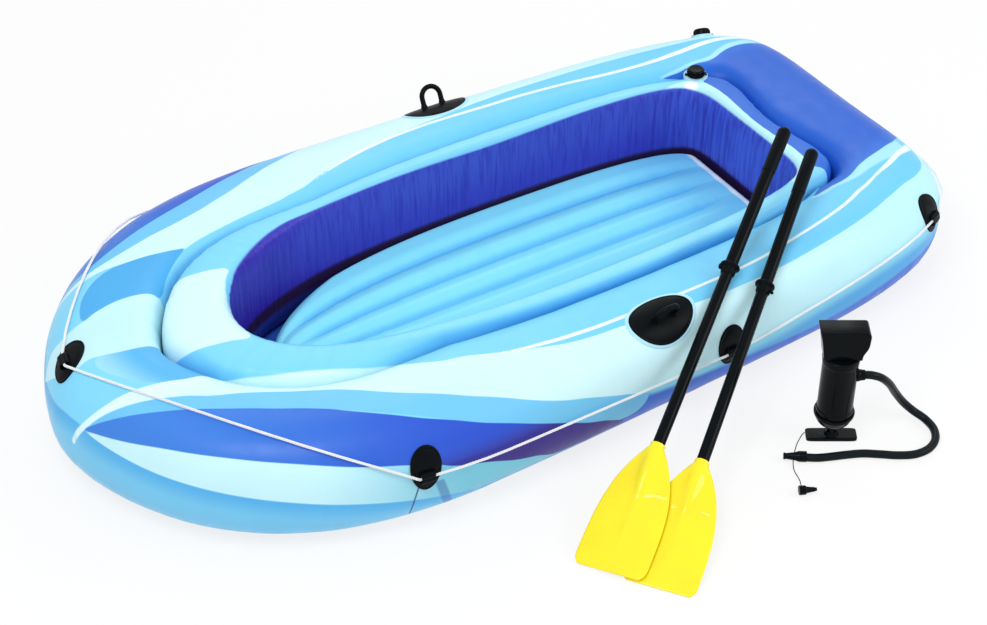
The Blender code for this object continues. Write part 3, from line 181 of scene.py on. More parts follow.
class Finish(Tree):
    """A material for one of the boat's surfaces, with its Principled shader."""

    def __init__(self, name, **constants):
        self.material = bpy.data.materials.new(name)
        self.material.use_nodes = True
        super().__init__(self.material.node_tree)
        self.shader = self.tree.nodes["Principled BSDF"]
        for socket, value in constants.items():
            self.shader.inputs[socket.replace("_", " ")].default_value = value

    def place(self):
        return self.node("ShaderNodeTexCoord", output=3)

    def attribute(self, name):
        return self.node("ShaderNodeAttribute", {"attribute_name": name}, output=2)

    def stretched(self, place, upright):
        """A place whose height counts less, so that what is drawn from it is drawn out upright."""
        return self.node("ShaderNodeMapping", {}, Vector=place, Scale=(1.0, 1.0, upright))

    def axes(self, place):
        """The X, Y and Z of a place, as three values."""
        split = self.node("ShaderNodeSeparateXYZ", {}, place)
        return [split.beside(axis) for axis in "XYZ"]

    def grain(self, place, scale, detail=3.0, roughness=0.5):
        """Noise from 0 to 1 whose features are about 1 / scale metres across."""
        return self.node("ShaderNodeTexNoise", {}, Vector=place, Scale=scale, Detail=detail,
                         Roughness=roughness)

    def blend(self, share, *colours):
        """Mix of two colours, each a link or six hex digits."""
        colours = [colour(tone) if isinstance(tone, str) else tone for tone in colours]
        return self.node("ShaderNodeMix", {"data_type": "RGBA"}, share, *colours)

    def printed(self, ground, *prints):
        """Prints over a ground: each shape's name, ink and soft edge in millimetres, and for some
        a second ink with the depth inside the shape at which it takes over."""
        for label, ink, soft, *second in prints:
            inside = self.attribute(label)
            if second:
                ink = self.blend(inside.over(0.0, second[1]), ink, second[0])
            ground = self.blend(inside.over(-soft, soft), ground, ink)
        return ground

    def shade(self, **links):
        for name, value in links.items():
            self.link(value, self.shader.inputs[name.replace("_", " ")])

    def relief(self, height, distance, strength):
        """Bump in metres of height, feeding the shader's Normal."""
        return self.node("ShaderNodeBump", {}, Distance=distance, Strength=strength, Height=height)


class Builder(Tree):
    """A Geometry Nodes tree with named sizes, run on an object and turned into a plain mesh."""

    def __init__(self, name, finish, **sizes):
        super().__init__(bpy.data.node_groups.new(name, "GeometryNodeTree"))
        self.name, self.finish, self.sizes = name, finish, sizes
        face = self.tree.interface
        for way in ("INPUT", "OUTPUT"):
            face.new_socket("Geometry", in_out=way, socket_type="NodeSocketGeometry")
        for label, value in sizes.items():
            kind = "NodeSocketInt" if isinstance(value, int) else "NodeSocketFloat"
            face.new_socket(label, in_out="INPUT", socket_type=kind)
        self.start = self.tree.nodes.new("NodeGroupInput")

    def size(self, label):
        return Signal(self, self.start.outputs[label])

    def vector(self, x=0.0, y=0.0, z=0.0):
        return self.node("ShaderNodeCombineXYZ", {}, x, y, z)

    def build(self, geometry, source, name):
        real = self.node("GeometryNodeRealizeInstances", {}, geometry)
        coated = self.node("GeometryNodeSetMaterial", {}, real, Material=self.finish.material)
        self.link(coated, self.tree.nodes.new("NodeGroupOutput").inputs[0])
        step = source.modifiers.new("build", "NODES")
        step.node_group = self.tree
        for item in self.tree.interface.items_tree:
            if item.item_type == "SOCKET" and item.in_out == "INPUT" and item.name in self.sizes:
                step[item.identifier] = self.sizes[item.name]
        bpy.context.view_layer.update()
        seen = source.evaluated_get(bpy.context.evaluated_depsgraph_get())
        data = bpy.data.meshes.new_from_object(seen)
        place = source.matrix_world.copy()
        bpy.data.objects.remove(source, do_unlink=True)
        data.transform(place)
        data.name = name
        return put(name, data)

    def build_many(self, points, piece, place, body, slot, sharp=60):
        """Set a piece on every point, at a place on a body."""
        many = self.node("GeometryNodeInstanceOnPoints", {}, Points=points, Instance=piece)
        source = put(self.name + "_place", bpy.data.meshes.new(self.name))
        source.matrix_world = place
        settle(self.build(many, source, self.name), self.finish, body, sharp=sharp)


def colour(text):
    """Linear red, green and blue, and an alpha of one, of a colour written as six hex digits."""
    values = [int(text[start:start + 2], 16) / 255 for start in (0, 2, 4)]
    return *(v / 12.92 if v <= 0.04045 else ((v + 0.055) / 1.055) ** 2.4 for v in values), 1.0


def put(name, data):
    """An object in the scene."""
    piece = bpy.data.objects.new(name, data)
    bpy.context.scene.collection.objects.link(piece)
    return piece


def put_mesh(name, mesh):
    """An object from a mesh that is then done with."""
    data = bpy.data.meshes.new(name)
    mesh.to_mesh(data)
    mesh.free()
    return put(name, data)


def settle(piece, finish, body, replaces=(), sharp=40):
    """Finish a piece: its material, shading, the body it rides on and the nodes it stands for."""
    piece.data.materials.clear()
    piece.data.materials.append(finish.material)
    piece.data.shade_smooth()
    piece.data.set_sharp_from_angle(angle=radians(sharp))
    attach(piece, body)
    if replaces:
        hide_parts(*replaces)
    return piece


def thing(name, mesh, finish, body, slot, replaces=(), sharp=40):
    """A finished piece from a mesh, with its faces turned out."""
    bmesh.ops.recalc_face_normals(mesh, faces=mesh.faces)
    return settle(put_mesh(name, mesh), finish, body, replaces, sharp)


def join_rings(mesh, rings, ends=True):
    """Faces between neighbouring rings of points, and over the first and last ring."""
    count = len(rings[0])
    for low, high in zip(rings, rings[1:]):
        for side in range(count):
            after = (side + 1) % count
            mesh.faces.new((low[side], low[after], high[after], high[side]))
    if ends:
        mesh.faces.new(rings[0][::-1])
        mesh.faces.new(rings[-1])


def set_camera():
    """Camera of the photograph: 31.8 degrees round from straight across and 39 degrees down."""
    data = bpy.data.cameras.new("camera")
    data.sensor_width = SENSOR_WIDTH
    data.lens = SENSOR_WIDTH * PHOTO_FOCAL_LENGTH / PHOTO_WIDTH
    data.clip_start, data.clip_end = 0.05, 60.0
    camera = put("camera", data)
    back = -Vector(CAMERA_VIEW).normalized()
    right = Vector((0, 0, 1)).cross(back).normalized()
    turn = Matrix((right, back.cross(right), back)).transposed().to_4x4()
    camera.matrix_world = Matrix.Translation(CAMERA_PLACE) @ turn
    bpy.context.scene.camera = camera


def seen_directly(tree):
    """One for what the camera sees, straight or in a reflection, and none for light on the boat."""
    path = tree.node("ShaderNodeLightPath")
    return path.highest(path.beside("Is Glossy Ray")).highest(path.beside("Is Transmission Ray"))


def lay_floor():
    """Plain pale floor, almost white where the camera sees it."""
    mesh = bmesh.new()
    bmesh.ops.create_grid(mesh, x_segments=2, y_segments=2, size=9.0)
    floor = put_mesh("studio_floor", mesh)
    floor.location.z = -0.0005
    finish = Finish("studio_floor", Roughness=0.9, Specular_IOR_Level=0.0)
    mottled = finish.grain(finish.place(), 3.0, 2.0)
    finish.shade(Base_Color=finish.blend(mottled * 0.3, "F6F6F6", "F1F1F1"))
    lit, white = Signal(finish, finish.shader.outputs[0]), finish.node("ShaderNodeEmission")
    mixed = finish.node("ShaderNodeMixShader", {}, seen_directly(finish) * 0.8, lit, white)
    finish.link(mixed, finish.tree.nodes["Material Output"].inputs["Surface"])
    floor.data.materials.append(finish.material)


def soft_light(name, place, aim, size, watts):
    """Wide lamp aimed at a point."""
    data = bpy.data.lights.new(name, "AREA")
    data.shape = "RECTANGLE"
    data.size, data.size_y = size
    data.energy = watts
    lamp = put(name, data)
    lamp.location = place
    lamp.rotation_euler = (Vector(aim) - Vector(place)).to_track_quat("-Z", "Y").to_euler()


def light_room():
    """White room that lights the boat a little less than it shows, and three soft lights."""
    world = bpy.data.worlds.new("room")
    bpy.context.scene.world = world
    world.use_nodes = True
    tree = Tree(world.node_tree)
    background = tree.tree.nodes["Background"]
    background.inputs["Color"].default_value = (1.0, 1.0, 1.0, 1.0)
    tree.link(seen_directly(tree).over(0.0, 1.0, 0.62, 1.0), background.inputs["Strength"])
    soft_light("key", (-1.6, -1.2, 3.4), aim=(0.0, 0.0, 0.1), size=(1.4, 1.4), watts=56)
    soft_light("window", (1.8, 2.4, 2.6), aim=(0.1, 0.0, 0.1), size=(2.4, 1.2), watts=24)
    soft_light("fill", (2.2, -2.4, 1.9), aim=(0.2, 0.0, 0.1), size=(2.0, 1.4), watts=30)
    bpy.context.scene.view_settings.view_transform = "Standard"


def pump_place():
    """Frame of the pump, with its origin on the ground under the barrel."""
    return Matrix.Translation((*PUMP_PLACE, 0.0)) @ Matrix.Rotation(PUMP_HEADING, 4, "Z")


def smooth_route(route, spacing):
    """Points along a smooth curve through a route given from the pump."""
    knots = [pump_place() @ Vector(point) for point in route]
    points = []
    for index, (start, end) in enumerate(zip(knots, knots[1:])):
        before, after = knots[max(0, index - 1)], knots[min(len(knots) - 1, index + 2)]
        steps = max(1, round((end - start).length / spacing))
        for t in (number / steps for number in range(steps)):
            points.append(start * (2 * t ** 3 - 3 * t ** 2 + 1)
                          + (end - before) / 2 * (t ** 3 - 2 * t ** 2 + t)
                          + end * (3 * t ** 2 - 2 * t ** 3) + (after - start) / 2 * (t ** 3 - t ** 2))
    points.append(knots[-1])
    return points


def route_length(points):
    return sum((b - a).length for a, b in zip(points, points[1:]))


def tube_along(points, diameter, sides):
    """Round tube along points, with flat ends and a UV map."""
    mesh = bmesh.new()
    uv_map = mesh.loops.layers.uv.new("run")
    rings, travels, travel, normal = [], [], 0.0, None
    for index, point in enumerate(points):
        before, after = points[max(0, index - 1)], points[min(len(points) - 1, index + 1)]
        way = (after - before).normalized()
        if normal is None:
            normal = way.orthogonal().normalized()
        normal = (normal - way * normal.dot(way)).normalized()
        side = way.cross(normal)
        rings.append([mesh.verts.new(point + (normal * cos(turn) + side * sin(turn)) * (diameter / 2))
                      for turn in turns(sides)])
        travels.append(travel)
        travel += (after - point).length
    join_rings(mesh, rings, ends=False)
    for number, face in enumerate(mesh.faces):
        low, side = divmod(number, sides)
        for loop, (ahead, round_it) in zip(face.loops, ((0, 0), (0, 1), (1, 1), (1, 0))):
            loop[uv_map].uv = (travels[low + ahead], (side + round_it) / sides)
    mesh.faces.new(rings[0][::-1])
    mesh.faces.new(rings[-1])
    return mesh


def make_cords(hose_finish, strap_finish, nozzle, adapter):
    """The pump's hose to its nozzle, and the thin tether to the spare adapter."""
    hose_line = smooth_route(HOSE_ROUTE, spacing=0.006)
    hose = thing("hose", tube_along(hose_line, HOSE_DIAMETER, sides=28), hose_finish, "pump", "black_hose",
                 ["pump_hose"])
    tether_line = smooth_route(TETHER_ROUTE, spacing=0.003)
    tether = thing("tether", tube_along(tether_line, TETHER_DIAMETER, sides=12), strap_finish, "pump",
                   "black_vinyl", ["adapter_tether"])


# Hull skin, the same as in the CAD source

def narrowing(x):
    """Share of its width that the hull keeps at x, as it narrows to the stern."""
    run = (x - NARROWING_START_X) / (HULL_LENGTH / 2 - NARROWING_START_X)
    return 1.0 - STERN_NARROWING * max(0.0, run)


def outline_level(line, x, y):
    """Below one inside an outline, above one outside it."""
    front, back, beam_x, half_width, bow_powers, stern_powers = line
    if x < beam_x:
        lengthwise, powers = (beam_x - x) / (beam_x - front), bow_powers
    else:
        lengthwise, powers = (x - beam_x) / (back - beam_x), stern_powers
    return lengthwise ** powers[0] + abs(y / (half_width * narrowing(x))) ** powers[1]


def reach(line, base_x, heading):
    """Distance from a point on the spine to an outline, along a heading."""
    return halve(0.0, HULL_LENGTH, 1e-7, lambda distance: outline_level(
        line, base_x + heading[0] * distance, heading[1] * distance) < 1.0)[0]


def station(around):
    """Spine point and heading at a distance around the hull, from the bow, -Y side positive."""
    run, side = abs(around), -copysign(1.0, around)
    if run < HALF_TURN:
        return SPINE_FRONT_X, (-cos(run / TURN_RADIUS), side * sin(run / TURN_RADIUS))
    if run < HALF_TURN + SIDE_RUN:
        return SPINE_FRONT_X + run - HALF_TURN, (0.0, side)
    turn = (run - HALF_TURN - SIDE_RUN) / TURN_RADIUS
    return SPINE_BACK_X, (sin(turn), side * cos(turn))


def chamber_spans(around):
    """Spine distances of the hull's edge, the crease between the chambers and the cockpit."""
    base_x, heading = station(around)
    edge, rim = reach(HULL_LINE, base_x, heading), reach(COCKPIT_LINE, base_x, heading)
    return edge, edge - min(TUBE_WIDTH, edge - rim - INNER_TUBE_LEAST), rim


def around_at(x, y):
    """Distance around the hull of a plan position."""
    if x < SPINE_FRONT_X:
        run = atan2(abs(y), SPINE_FRONT_X - x) * TURN_RADIUS
    elif x > SPINE_BACK_X:
        run = HALF_TURN + SIDE_RUN + atan2(x - SPINE_BACK_X, abs(y)) * TURN_RADIUS
    else:
        run = HALF_TURN + x - SPINE_FRONT_X
    return copysign(run, -y)


def stern_around(bearing, side):
    """Distance around the hull of a bearing at the stern."""
    return side * (HALF_TURN + SIDE_RUN + (pi / 2 - bearing) * TURN_RADIUS)


def section_point(inner, outer, powers, roll, lift):
    """Point of a tube's section: roll 0 is outermost and a quarter turn is the top."""
    half_width, half_height = (outer - inner) / 2, (HULL_HEIGHT - CHAMBER_BOTTOM) / 2
    power = powers[0] if cos(roll) >= 0 else powers[1]
    out = half_width * signed_power(cos(roll), 2 / power)
    up = half_height * signed_power(sin(roll), 2 / power)
    slope_out = signed_power(out / half_width, power - 1) / half_width
    slope_up = signed_power(up / half_height, power - 1) / half_height
    steep = hypot(slope_out, slope_up)
    return (inner + outer) / 2 + out + lift * slope_out / steep, \
        CHAMBER_BOTTOM + half_height + up + lift * slope_up / steep


SPANS = {}


def skin(which, around, roll, lift=0.0):
    """Point on the outer or inner tube, lifted off it along its own slope."""
    key = round(around, 7)
    if key not in SPANS:
        SPANS[key] = chamber_spans(around)
    edge, crease, rim = SPANS[key]
    base_x, heading = station(around)
    if which == "outer":
        distance, height = section_point(crease, edge, (TUBE_POWER, WALL_POWER), roll, lift)
    else:
        distance, height = section_point(rim, crease - FIT_GAP, (WALL_POWER, WALL_POWER), roll, lift)
    return Vector((base_x + heading[0] * distance, heading[1] * distance, height))


# Printed shapes of the tubes. Each point is a distance from the print's middle line, which lies a little way
# round from the bow, and a distance round the tube from its outermost line, up and over, in millimetres.
# Shapes are on both sides (0), or on the near side (1) or the far side (-1) alone.
PRINT_SHIFT = 0.065

# Depth of the skin under the CAD's, how far a print on one side runs past the middle line, and how far
# from a print's edge its depth is measured
SKIN_DEPTH, PRINT_LAP, PRINT_REACH = 0.0002, 0.012, 0.06

# Borders that neighbouring prints share
BAND_TOP = (
    (300, 251), (350, 264), (400, 267), (450, 264), (500, 255), (550, 237), (600, 214), (650, 190),
    (700, 165), (750, 137), (800, 110), (850, 83), (900, 60), (950, 42), (1000, 21), (1050, 0))
BAND_TOP_FAR = (
    (134, 70), (150, 98), (176, 132), (210, 163), (250, 184), (290, 197), (350, 211), (420, 214), (480, 207),
    (540, 197), (600, 182), (660, 165), (700, 152), (740, 138), (800, 112), *BAND_TOP[-5:])
LEAF_LOW = (
    (150, 67), (200, 80), (250, 91), (300, 96), (350, 98), (400, 96), (450, 91), (500, 82), (550, 70),
    (600, 58), (650, 42), (680, 26), (700, 17), (750, -1), (800, -26), (850, -47), (900, -75))
BOW_LOW = (
    (150, 56), (200, 49), (250, 42), (300, 36), (350, 30), (400, 23), (450, 14), (500, 3), (550, -9),
    (600, -24), (650, -40), (700, -58))
STERN_LOW = (
    (1150, -12), (1250, -16), (1400, -8), (1500, 8), (1600, 20), (1700, 30), (1800, 33), (1900, 40))
STERN_EDGE = (*STERN_LOW, (1995, 60), (1990, 100), (1950, 112), (1900, 118), (1850, 136), (1811, 149))
BLOCK_TOP = (
    (1722, 269), (1755, 263), (1811, 261), (1855, 258), (1883, 244), (1905, 224), (1928, 196), (1944, 174))
OUTER_PRINT = {
    "pale_side": (1, (
        *BAND_TOP[::-1], (255, 228), (215, 212), (190, 232), (205, 280), (205, 330), (200, 380), (400, 420),
        (620, 400), (640, 320), (650, 292), (670, 274), (710, 258), (750, 244), (800, 228), (850, 208),
        (900, 187), (950, 169), (1000, 159), (1070, 152), (1200, 134), (1300, 127), (1411, 127), (1478, 130),
        (1589, 137), (1700, 145), (1767, 149), *STERN_EDGE[::-1])),
    "pale_low": (0, ((128, 62), *LEAF_LOW, (760, -75), *BOW_LOW[::-1])),
    "pale_bow_near": (1, (
        (-20, 60), (-20, 440), (-60, 430), (-10, 380), (5, 355), (35, 333), (52, 310), (58, 292), (57, 250),
        (50, 200), (45, 165), (50, 130), (30, 90))),
    "pale_bow_far": (-1, (
        (-20, 60), (-20, 440), (80, 430), (98, 360), (106, 320), (107, 278), (90, 224), (67, 187), (48, 160),
        (30, 120), (20, 80))),
    "lens_near": (1, (
        (58, 292), (52, 315), (35, 333), (5, 360), (0, 420), (200, 420), (205, 330), (205, 292), (195, 260),
        (175, 237), (162, 218), (120, 190), (70, 170), (48, 180), (53, 220), (57, 250))),
    "lens_far": (-1, (
        (107, 278), (108, 300), (130, 305), (165, 297), (230, 288), (280, 281), (268, 270), (248, 252),
        (225, 225), (205, 202), (185, 180), (150, 160), (100, 150), (50, 160), (68, 187), (90, 224))),
    "wedge_near": (1, (
        (106, 16), (114, 50), (125.5, 80), (138.5, 120), (148, 165), (157, 200), (170, 228), (190, 255),
        (205, 285), (240, 270), (262, 234), (232, 218), (205, 195), (178, 160), (152, 115), (135.5, 79),
        (121, 44), (111, 16))),
    "pale_far": (-1, (
        (280, 281), (268, 270), (248, 252), (225, 225), (205, 202), (180, 165), (155, 130), (136, 96),
        (126, 70), *BAND_TOP_FAR, *STERN_EDGE, (1760, 158), (1700, 168), (1600, 174), (1450, 177),
        (1300, 180), (1200, 186), (1130, 195), (1050, 202), (980, 208), (900, 218), (840, 232), (780, 245),
        (720, 262), (660, 273), (600, 278), (500, 282), (400, 285), (310, 283))),
    "band_far": (-1, (
        *BAND_TOP_FAR, (1080, -20), (1040, -60), (900, -10), (740, 60), (600, 100), (480, 130), (390, 140),
        (300, 130), (220, 105), (170, 78), (145, 62))),
    "leaf_far": (-1, (
        (140, 60), (165, 92), (188, 118), (212, 137), (250, 152), (300, 162), (350, 168), (400, 170),
        (450, 168), (500, 161), (560, 150), (620, 137), (680, 121), (740, 102), (800, 80), (850, 56),
        (900, 28), (950, -4), (1000, -38), (1030, -75), (900, -75), (850, -50), (800, -28), (750, -6),
        (700, 12), (650, 30), (600, 44), (550, 54), (500, 60), (450, 63), (400, 64), (350, 64), (300, 63),
        (250, 61), (200, 58), (165, 55))),
    "band": (1, (
        (262, 228), *BAND_TOP, (1080, -20), (1040, -60), (900, -10), (700, 108), (500, 200), (390, 213),
        (290, 197), (210, 150), (150, 90), (130, 64), (140, 90), (152, 112), (178, 158), (205, 193),
        (232, 216))),
    "leaf": (1, (
        (128, 62), (150, 92), (180, 124), (210, 151), (250, 180), (290, 199), (340, 212), (390, 215),
        (440, 213), (490, 203), (530, 187), (570, 169), (610, 150), (650, 130), (700, 108), (750, 83),
        (800, 60), (850, 35), (900, 10), (950, -17), (1000, -42), (1030, -75), *LEAF_LOW[::-1])),
    "bow_side": (0, (
        (-100, 20), (50, 60), (110, 66), (128, 62), *BOW_LOW, (740, -90), (600, -150), (-100, -150))),
    "low_side": (0, (
        (680, -40), (760, -20), (850, -40), (950, -10), (1050, 0), *STERN_LOW, (2000, 45), (2150, 40),
        (2300, -60), (2200, -150), (1600, -150), (900, -150), (700, -100))),
    "low_royal": (0, (
        (1060, -16), (1100, -24), (1200, -34), (1300, -44), (1400, -52), (1500, -56), (1600, -48),
        (1700, -34), (1800, -22), (1900, -16), (2050, -20), (2300, -60), (2200, -150), (1500, -150),
        (900, -150), (950, -80), (1000, -40))),
    "stripe_near": (1, (
        (790, 232), (850, 210), (920, 197), (1000, 186), (1067, 181), (1200, 176), (1300, 173), (1389, 176),
        (1478, 186), (1589, 197), (1700, 206), (1767, 212), (1811, 216), (1846, 213), (1882, 197),
        (1916, 171), (1940, 143), (1960, 120), (1945, 118), (1922, 146), (1904, 167), (1872, 190),
        (1840, 206), (1811, 209), (1767, 204), (1700, 198), (1589, 189), (1478, 178), (1389, 168),
        (1300, 165), (1200, 168), (1067, 172), (1000, 176), (920, 187), (850, 204))),
    "stripe_far": (-1, (
        (735, 261), (780, 250), (840, 238), (900, 227), (980, 217), (1070, 214), (1200, 217), (1300, 220),
        (1400, 227), (1480, 236), (1560, 238), (1640, 234), (1700, 225), (1750, 210), (1790, 195),
        (1830, 172), (1870, 145), (1900, 120), (1880, 116), (1850, 138), (1810, 163), (1770, 184),
        (1730, 200), (1690, 213), (1630, 223), (1560, 227), (1480, 225), (1400, 217), (1300, 210),
        (1200, 207), (1070, 205), (980, 208), (900, 217), (840, 229), (790, 243))),
    "block_edge": (1, (
        (1670, 280), (1700, 262), (1755, 254), (1800, 245), (1850, 232), (1885, 205), (1905, 172),
        (1930, 140), (1975, 140), (1960, 149), *BLOCK_TOP[::-1], (1695, 276))),
    "block_edge_far": (-1, (
        (1690, 287), (1770, 258), (1805, 248), (1828, 236), (1838, 212), (1852, 186), (1872, 162),
        (1890, 138), (1915, 138), (1905, 150), (1874, 186), (1852, 222), (1838, 248), (1790, 262),
        (1740, 281))),
    "block_far": (-1, (
        (1700, 289), (1740, 281), (1775, 271), (1795, 262), (1825, 258), (1838, 248), (1846, 236),
        (1852, 222), (1860, 205), (1874, 186), (1890, 168), (1905, 150), (1925, 120), (1950, 80), (1980, 30),
        (2010, -40), (2300, -80), (2300, 460), (1900, 460), (1860, 380), (1840, 330), (1820, 300),
        (1775, 297))),
    "block": (1, (
        (1689, 277), *BLOCK_TOP, (1961, 149), (1985, 120), (2010, 80), (2035, 40), (2060, 0), (2080, -60),
        (2300, -80), (2300, 460), (1900, 460), (1860, 380), (1840, 330), (1820, 296), (1760, 290))),
}
# Shapes on the inner tube: print, and also painted shade along the crease and a painted highlight at the
# stern corner.
INNER_PRINT = {
    "pale_bow_near": (1, (
        (-20, 215), (20, 208), (60, 203), (100, 197), (150, 188), (186, 174), (166, 160), (151, 148),
        (137, 131), (122, 112), (104, 92), (84, 66), (64, 35), (50, 0), (-20, -10))),
    "pale_bow_far": (-1, (
        (-20, 215), (30, 203), (60, 197), (100, 189), (150, 183), (190, 179), (186, 165), (178, 152),
        (164, 137), (150, 115), (138, 92), (122, 60), (100, 20), (80, -10), (-20, -10))),
    # Painted shade along the crease between the tubes, at the bow and further aft.
    "dusk_bow": (1, (
        (128, 119), (180, 114), (270, 102), (235, 90), (200, 76), (165, 52), (140, 25), (110, -15),
        (50, -20), (64, 35), (84, 66), (104, 92))),
    "pale_sweep": (1, (
        (90, -20), (140, 25), (165, 52), (200, 76), (235, 90), (270, 102), (330, 112), (380, 118),
        (430, 119), (500, 114), (600, 97), (700, 78), (760, 66), (830, 50), (900, 40), (900, -20))),
    "dusk": (1, (
        (185, 174), (250, 180), (400, 176), (560, 164), (640, 153), (700, 142), (800, 126), (900, 117),
        (1000, 112), (1200, 110), (1400, 112), (1400, 60), (900, 60), (700, 90), (560, 115), (400, 135),
        (250, 140), (190, 155))),
    "rim": (0, (
        (1690, 196), (1706, 180), (1735, 160), (1775, 146), (1835, 148), (1852, 156), (1880, 161),
        (1920, 163), (2000, 164), (2100, 164), (2200, 165), (2400, 165), (2400, 200), (2100, 200),
        (1850, 200), (1760, 200))),
    # A painted highlight: a white spot at the stern corner.
    "glow": (0, (
        (1786, 152), (1812, 152), (1824, 170), (1816, 187), (1788, 187), (1776, 170))),
    "block": (0, (
        (1838, 150), (1834, 120), (1825, 60), (1810, -40), (2400, -40), (2400, 166), (2200, 166),
        (2100, 165), (2000, 165), (1920, 164), (1880, 162), (1852, 157))),
    # Near edge of the top, in the same painted crease shade over the wall.
    "lip": (1, (
        (190, 191), (300, 189), (400, 188), (480, 187), (560, 186), (640, 185), (720, 184), (820, 186),
        (720, 174), (560, 164), (400, 168), (300, 178), (230, 186))),
    "wall": (0, (
        (-40, 226), (20, 222), (55, 212), (80, 206), (150, 198), (200, 190), (300, 184), (400, 178),
        (480, 174), (560, 172), (640, 176), (720, 181), (800, 185), (1000, 191), (1130, 195), (1250, 193),
        (1400, 187), (1550, 183), (1700, 181), (1760, 182), (1800, 187), (1850, 190), (1950, 190),
        (2100, 189), (2200, 188), (2400, 188), (2400, 420), (-40, 420))),
}


def section_rolls(which, sides):
    """Rolls that spread a section's points evenly, and a table from roll to distance round the section."""
    powers = (TUBE_POWER, WALL_POWER) if which == "outer" else (WALL_POWER, WALL_POWER)
    width = TUBE_WIDTH if which == "outer" else 0.09
    fine = 45 * np.linspace(0, 1, 80) ** 3.5
    quarters = [quarter * 90 + sign * part for quarter in range(-1, 5) for sign in (-1, 1) for part in fine]
    rolls = np.radians(np.unique(np.clip(quarters, -90, 360)))
    points = np.array([section_point(0.0, width, powers, roll, 0.0) for roll in rolls])
    girth = np.concatenate(([0.0], np.cumsum(np.hypot(*np.diff(points, axis=0).T))))
    girth -= np.interp(0.0, rolls, girth)
    whole = np.interp(2 * pi, rolls, girth)
    even = np.interp(np.arange(sides) * whole / sides, girth, rolls)
    return even, rolls, girth


def smooth_outline(points, steps=5):
    """Closed smooth line through points."""
    knots = np.array(points, float)
    before, after, later = np.roll(knots, 1, 0), np.roll(knots, -1, 0), np.roll(knots, -2, 0)
    rows = []
    for number in range(steps):
        t = number / steps
        rows.append(0.5 * (2 * knots + (after - before) * t
                           + (2 * before - 5 * knots + 4 * after - later) * t ** 2
                           + (3 * knots - before - 3 * after + later) * t ** 3))
    return np.stack(rows, 1).reshape(-1, 2)


def inside_by(outline, places):
    """How far places lie inside an outline, in metres, negative outside it and never over the limit."""
    limit = PRINT_REACH
    found = np.full(len(places), -limit)
    near = np.all((places > outline.min(0) - limit) & (places < outline.max(0) + limit), axis=1)
    spots = places[near]
    run = np.roll(outline, -1, 0) - outline
    squares = (run ** 2).sum(1) + 1e-12
    nearest = np.full(len(spots), 1e9)
    crossings = np.zeros(len(spots), int)
    for (x, y), (run_x, run_y), square in zip(outline, run, squares):
        off_x, off_y = spots[:, 0] - x, spots[:, 1] - y
        share = np.clip((off_x * run_x + off_y * run_y) / square, 0, 1)
        nearest = np.minimum(nearest, (off_x - share * run_x) ** 2 + (off_y - share * run_y) ** 2)
        if run_y:
            at = off_y / run_y
            crossings += (at >= 0) & (at < 1) & (off_x < at * run_x)
    distance = np.minimum(np.sqrt(nearest), limit)
    found[near] = np.where(crossings % 2 == 1, distance, -distance)
    return found


def folds(along, across, seed, lengths):
    """Fine folds across a tube, from -1 to 1: waves along it whose phase drifts."""
    chance = np.random.default_rng(seed)
    total = np.zeros_like(along)
    for length in lengths:
        phase, drift, lean = chance.uniform(0, 2 * pi), chance.uniform(0.8, 1.6), chance.uniform(-5, 5)
        total += length * np.sin(2 * pi * along / length + phase + drift * np.sin(along * 7 + phase)
                                 + 0.9 * np.sin(along * 23 + 3 * phase) + lean * across)
    return total / sum(lengths)


def hump(values, middle, spread):
    """Smooth bump, one at its middle and none far from it."""
    return np.exp(-((values - middle) / spread) ** 2)


def outer_puckers(around, roll):
    """How far the outer tube's skin draws in, in metres: at its side seam and at the crease."""
    turn = np.degrees((roll + pi) % (2 * pi) - pi)
    curved = 0.35 + 0.65 * np.clip((0.78 - around) / 0.3, 0, 1) + 0.5 * np.clip((around - 1.5) / 0.3, 0, 1)
    seam = hump(turn, -27, 13) * 0.0016 * (0.6 + 0.4 * folds(around, roll, 3, (0.031, 0.021, 0.015)))
    wave = (0.5 + 0.5 * folds(around, roll, 5, (0.052, 0.035, 0.024))) * 0.0020
    crease = hump(turn, 165, 26) + hump(turn, -165, 20)
    swell = 0.0009 * (0.5 + 0.5 * folds(around, roll, 9, (0.31, 0.19, 0.12)))
    return seam * curved + crease * wave * curved + swell


def inner_puckers(around, roll):
    """How far the inner tube's skin draws in: upright folds in its wall and soft ones on its top."""
    turn = np.degrees(roll % (2 * pi))
    curved = np.clip((0.7 - around) / 0.3, 0, 1) + np.clip((around - 1.55) / 0.2, 0, 1)
    wall = np.clip((turn - 104) / 30, 0, 1) * np.clip((290 - turn) / 40, 0, 1)
    wave = 0.5 + 0.5 * folds(around, roll, 11, (0.043, 0.029, 0.021, 0.0165))
    wave *= 0.35 + 0.65 * (0.5 + 0.5 * folds(around, roll * 1.7, 23, (0.19, 0.11, 0.37)))
    top = hump(turn, 60, 40) * 0.0009 * (0.5 + 0.5 * folds(around, roll, 14, (0.08, 0.053, 0.034)))
    return wall * wave * (0.0013 + 0.0012 * curved) + top * (1 + curved)


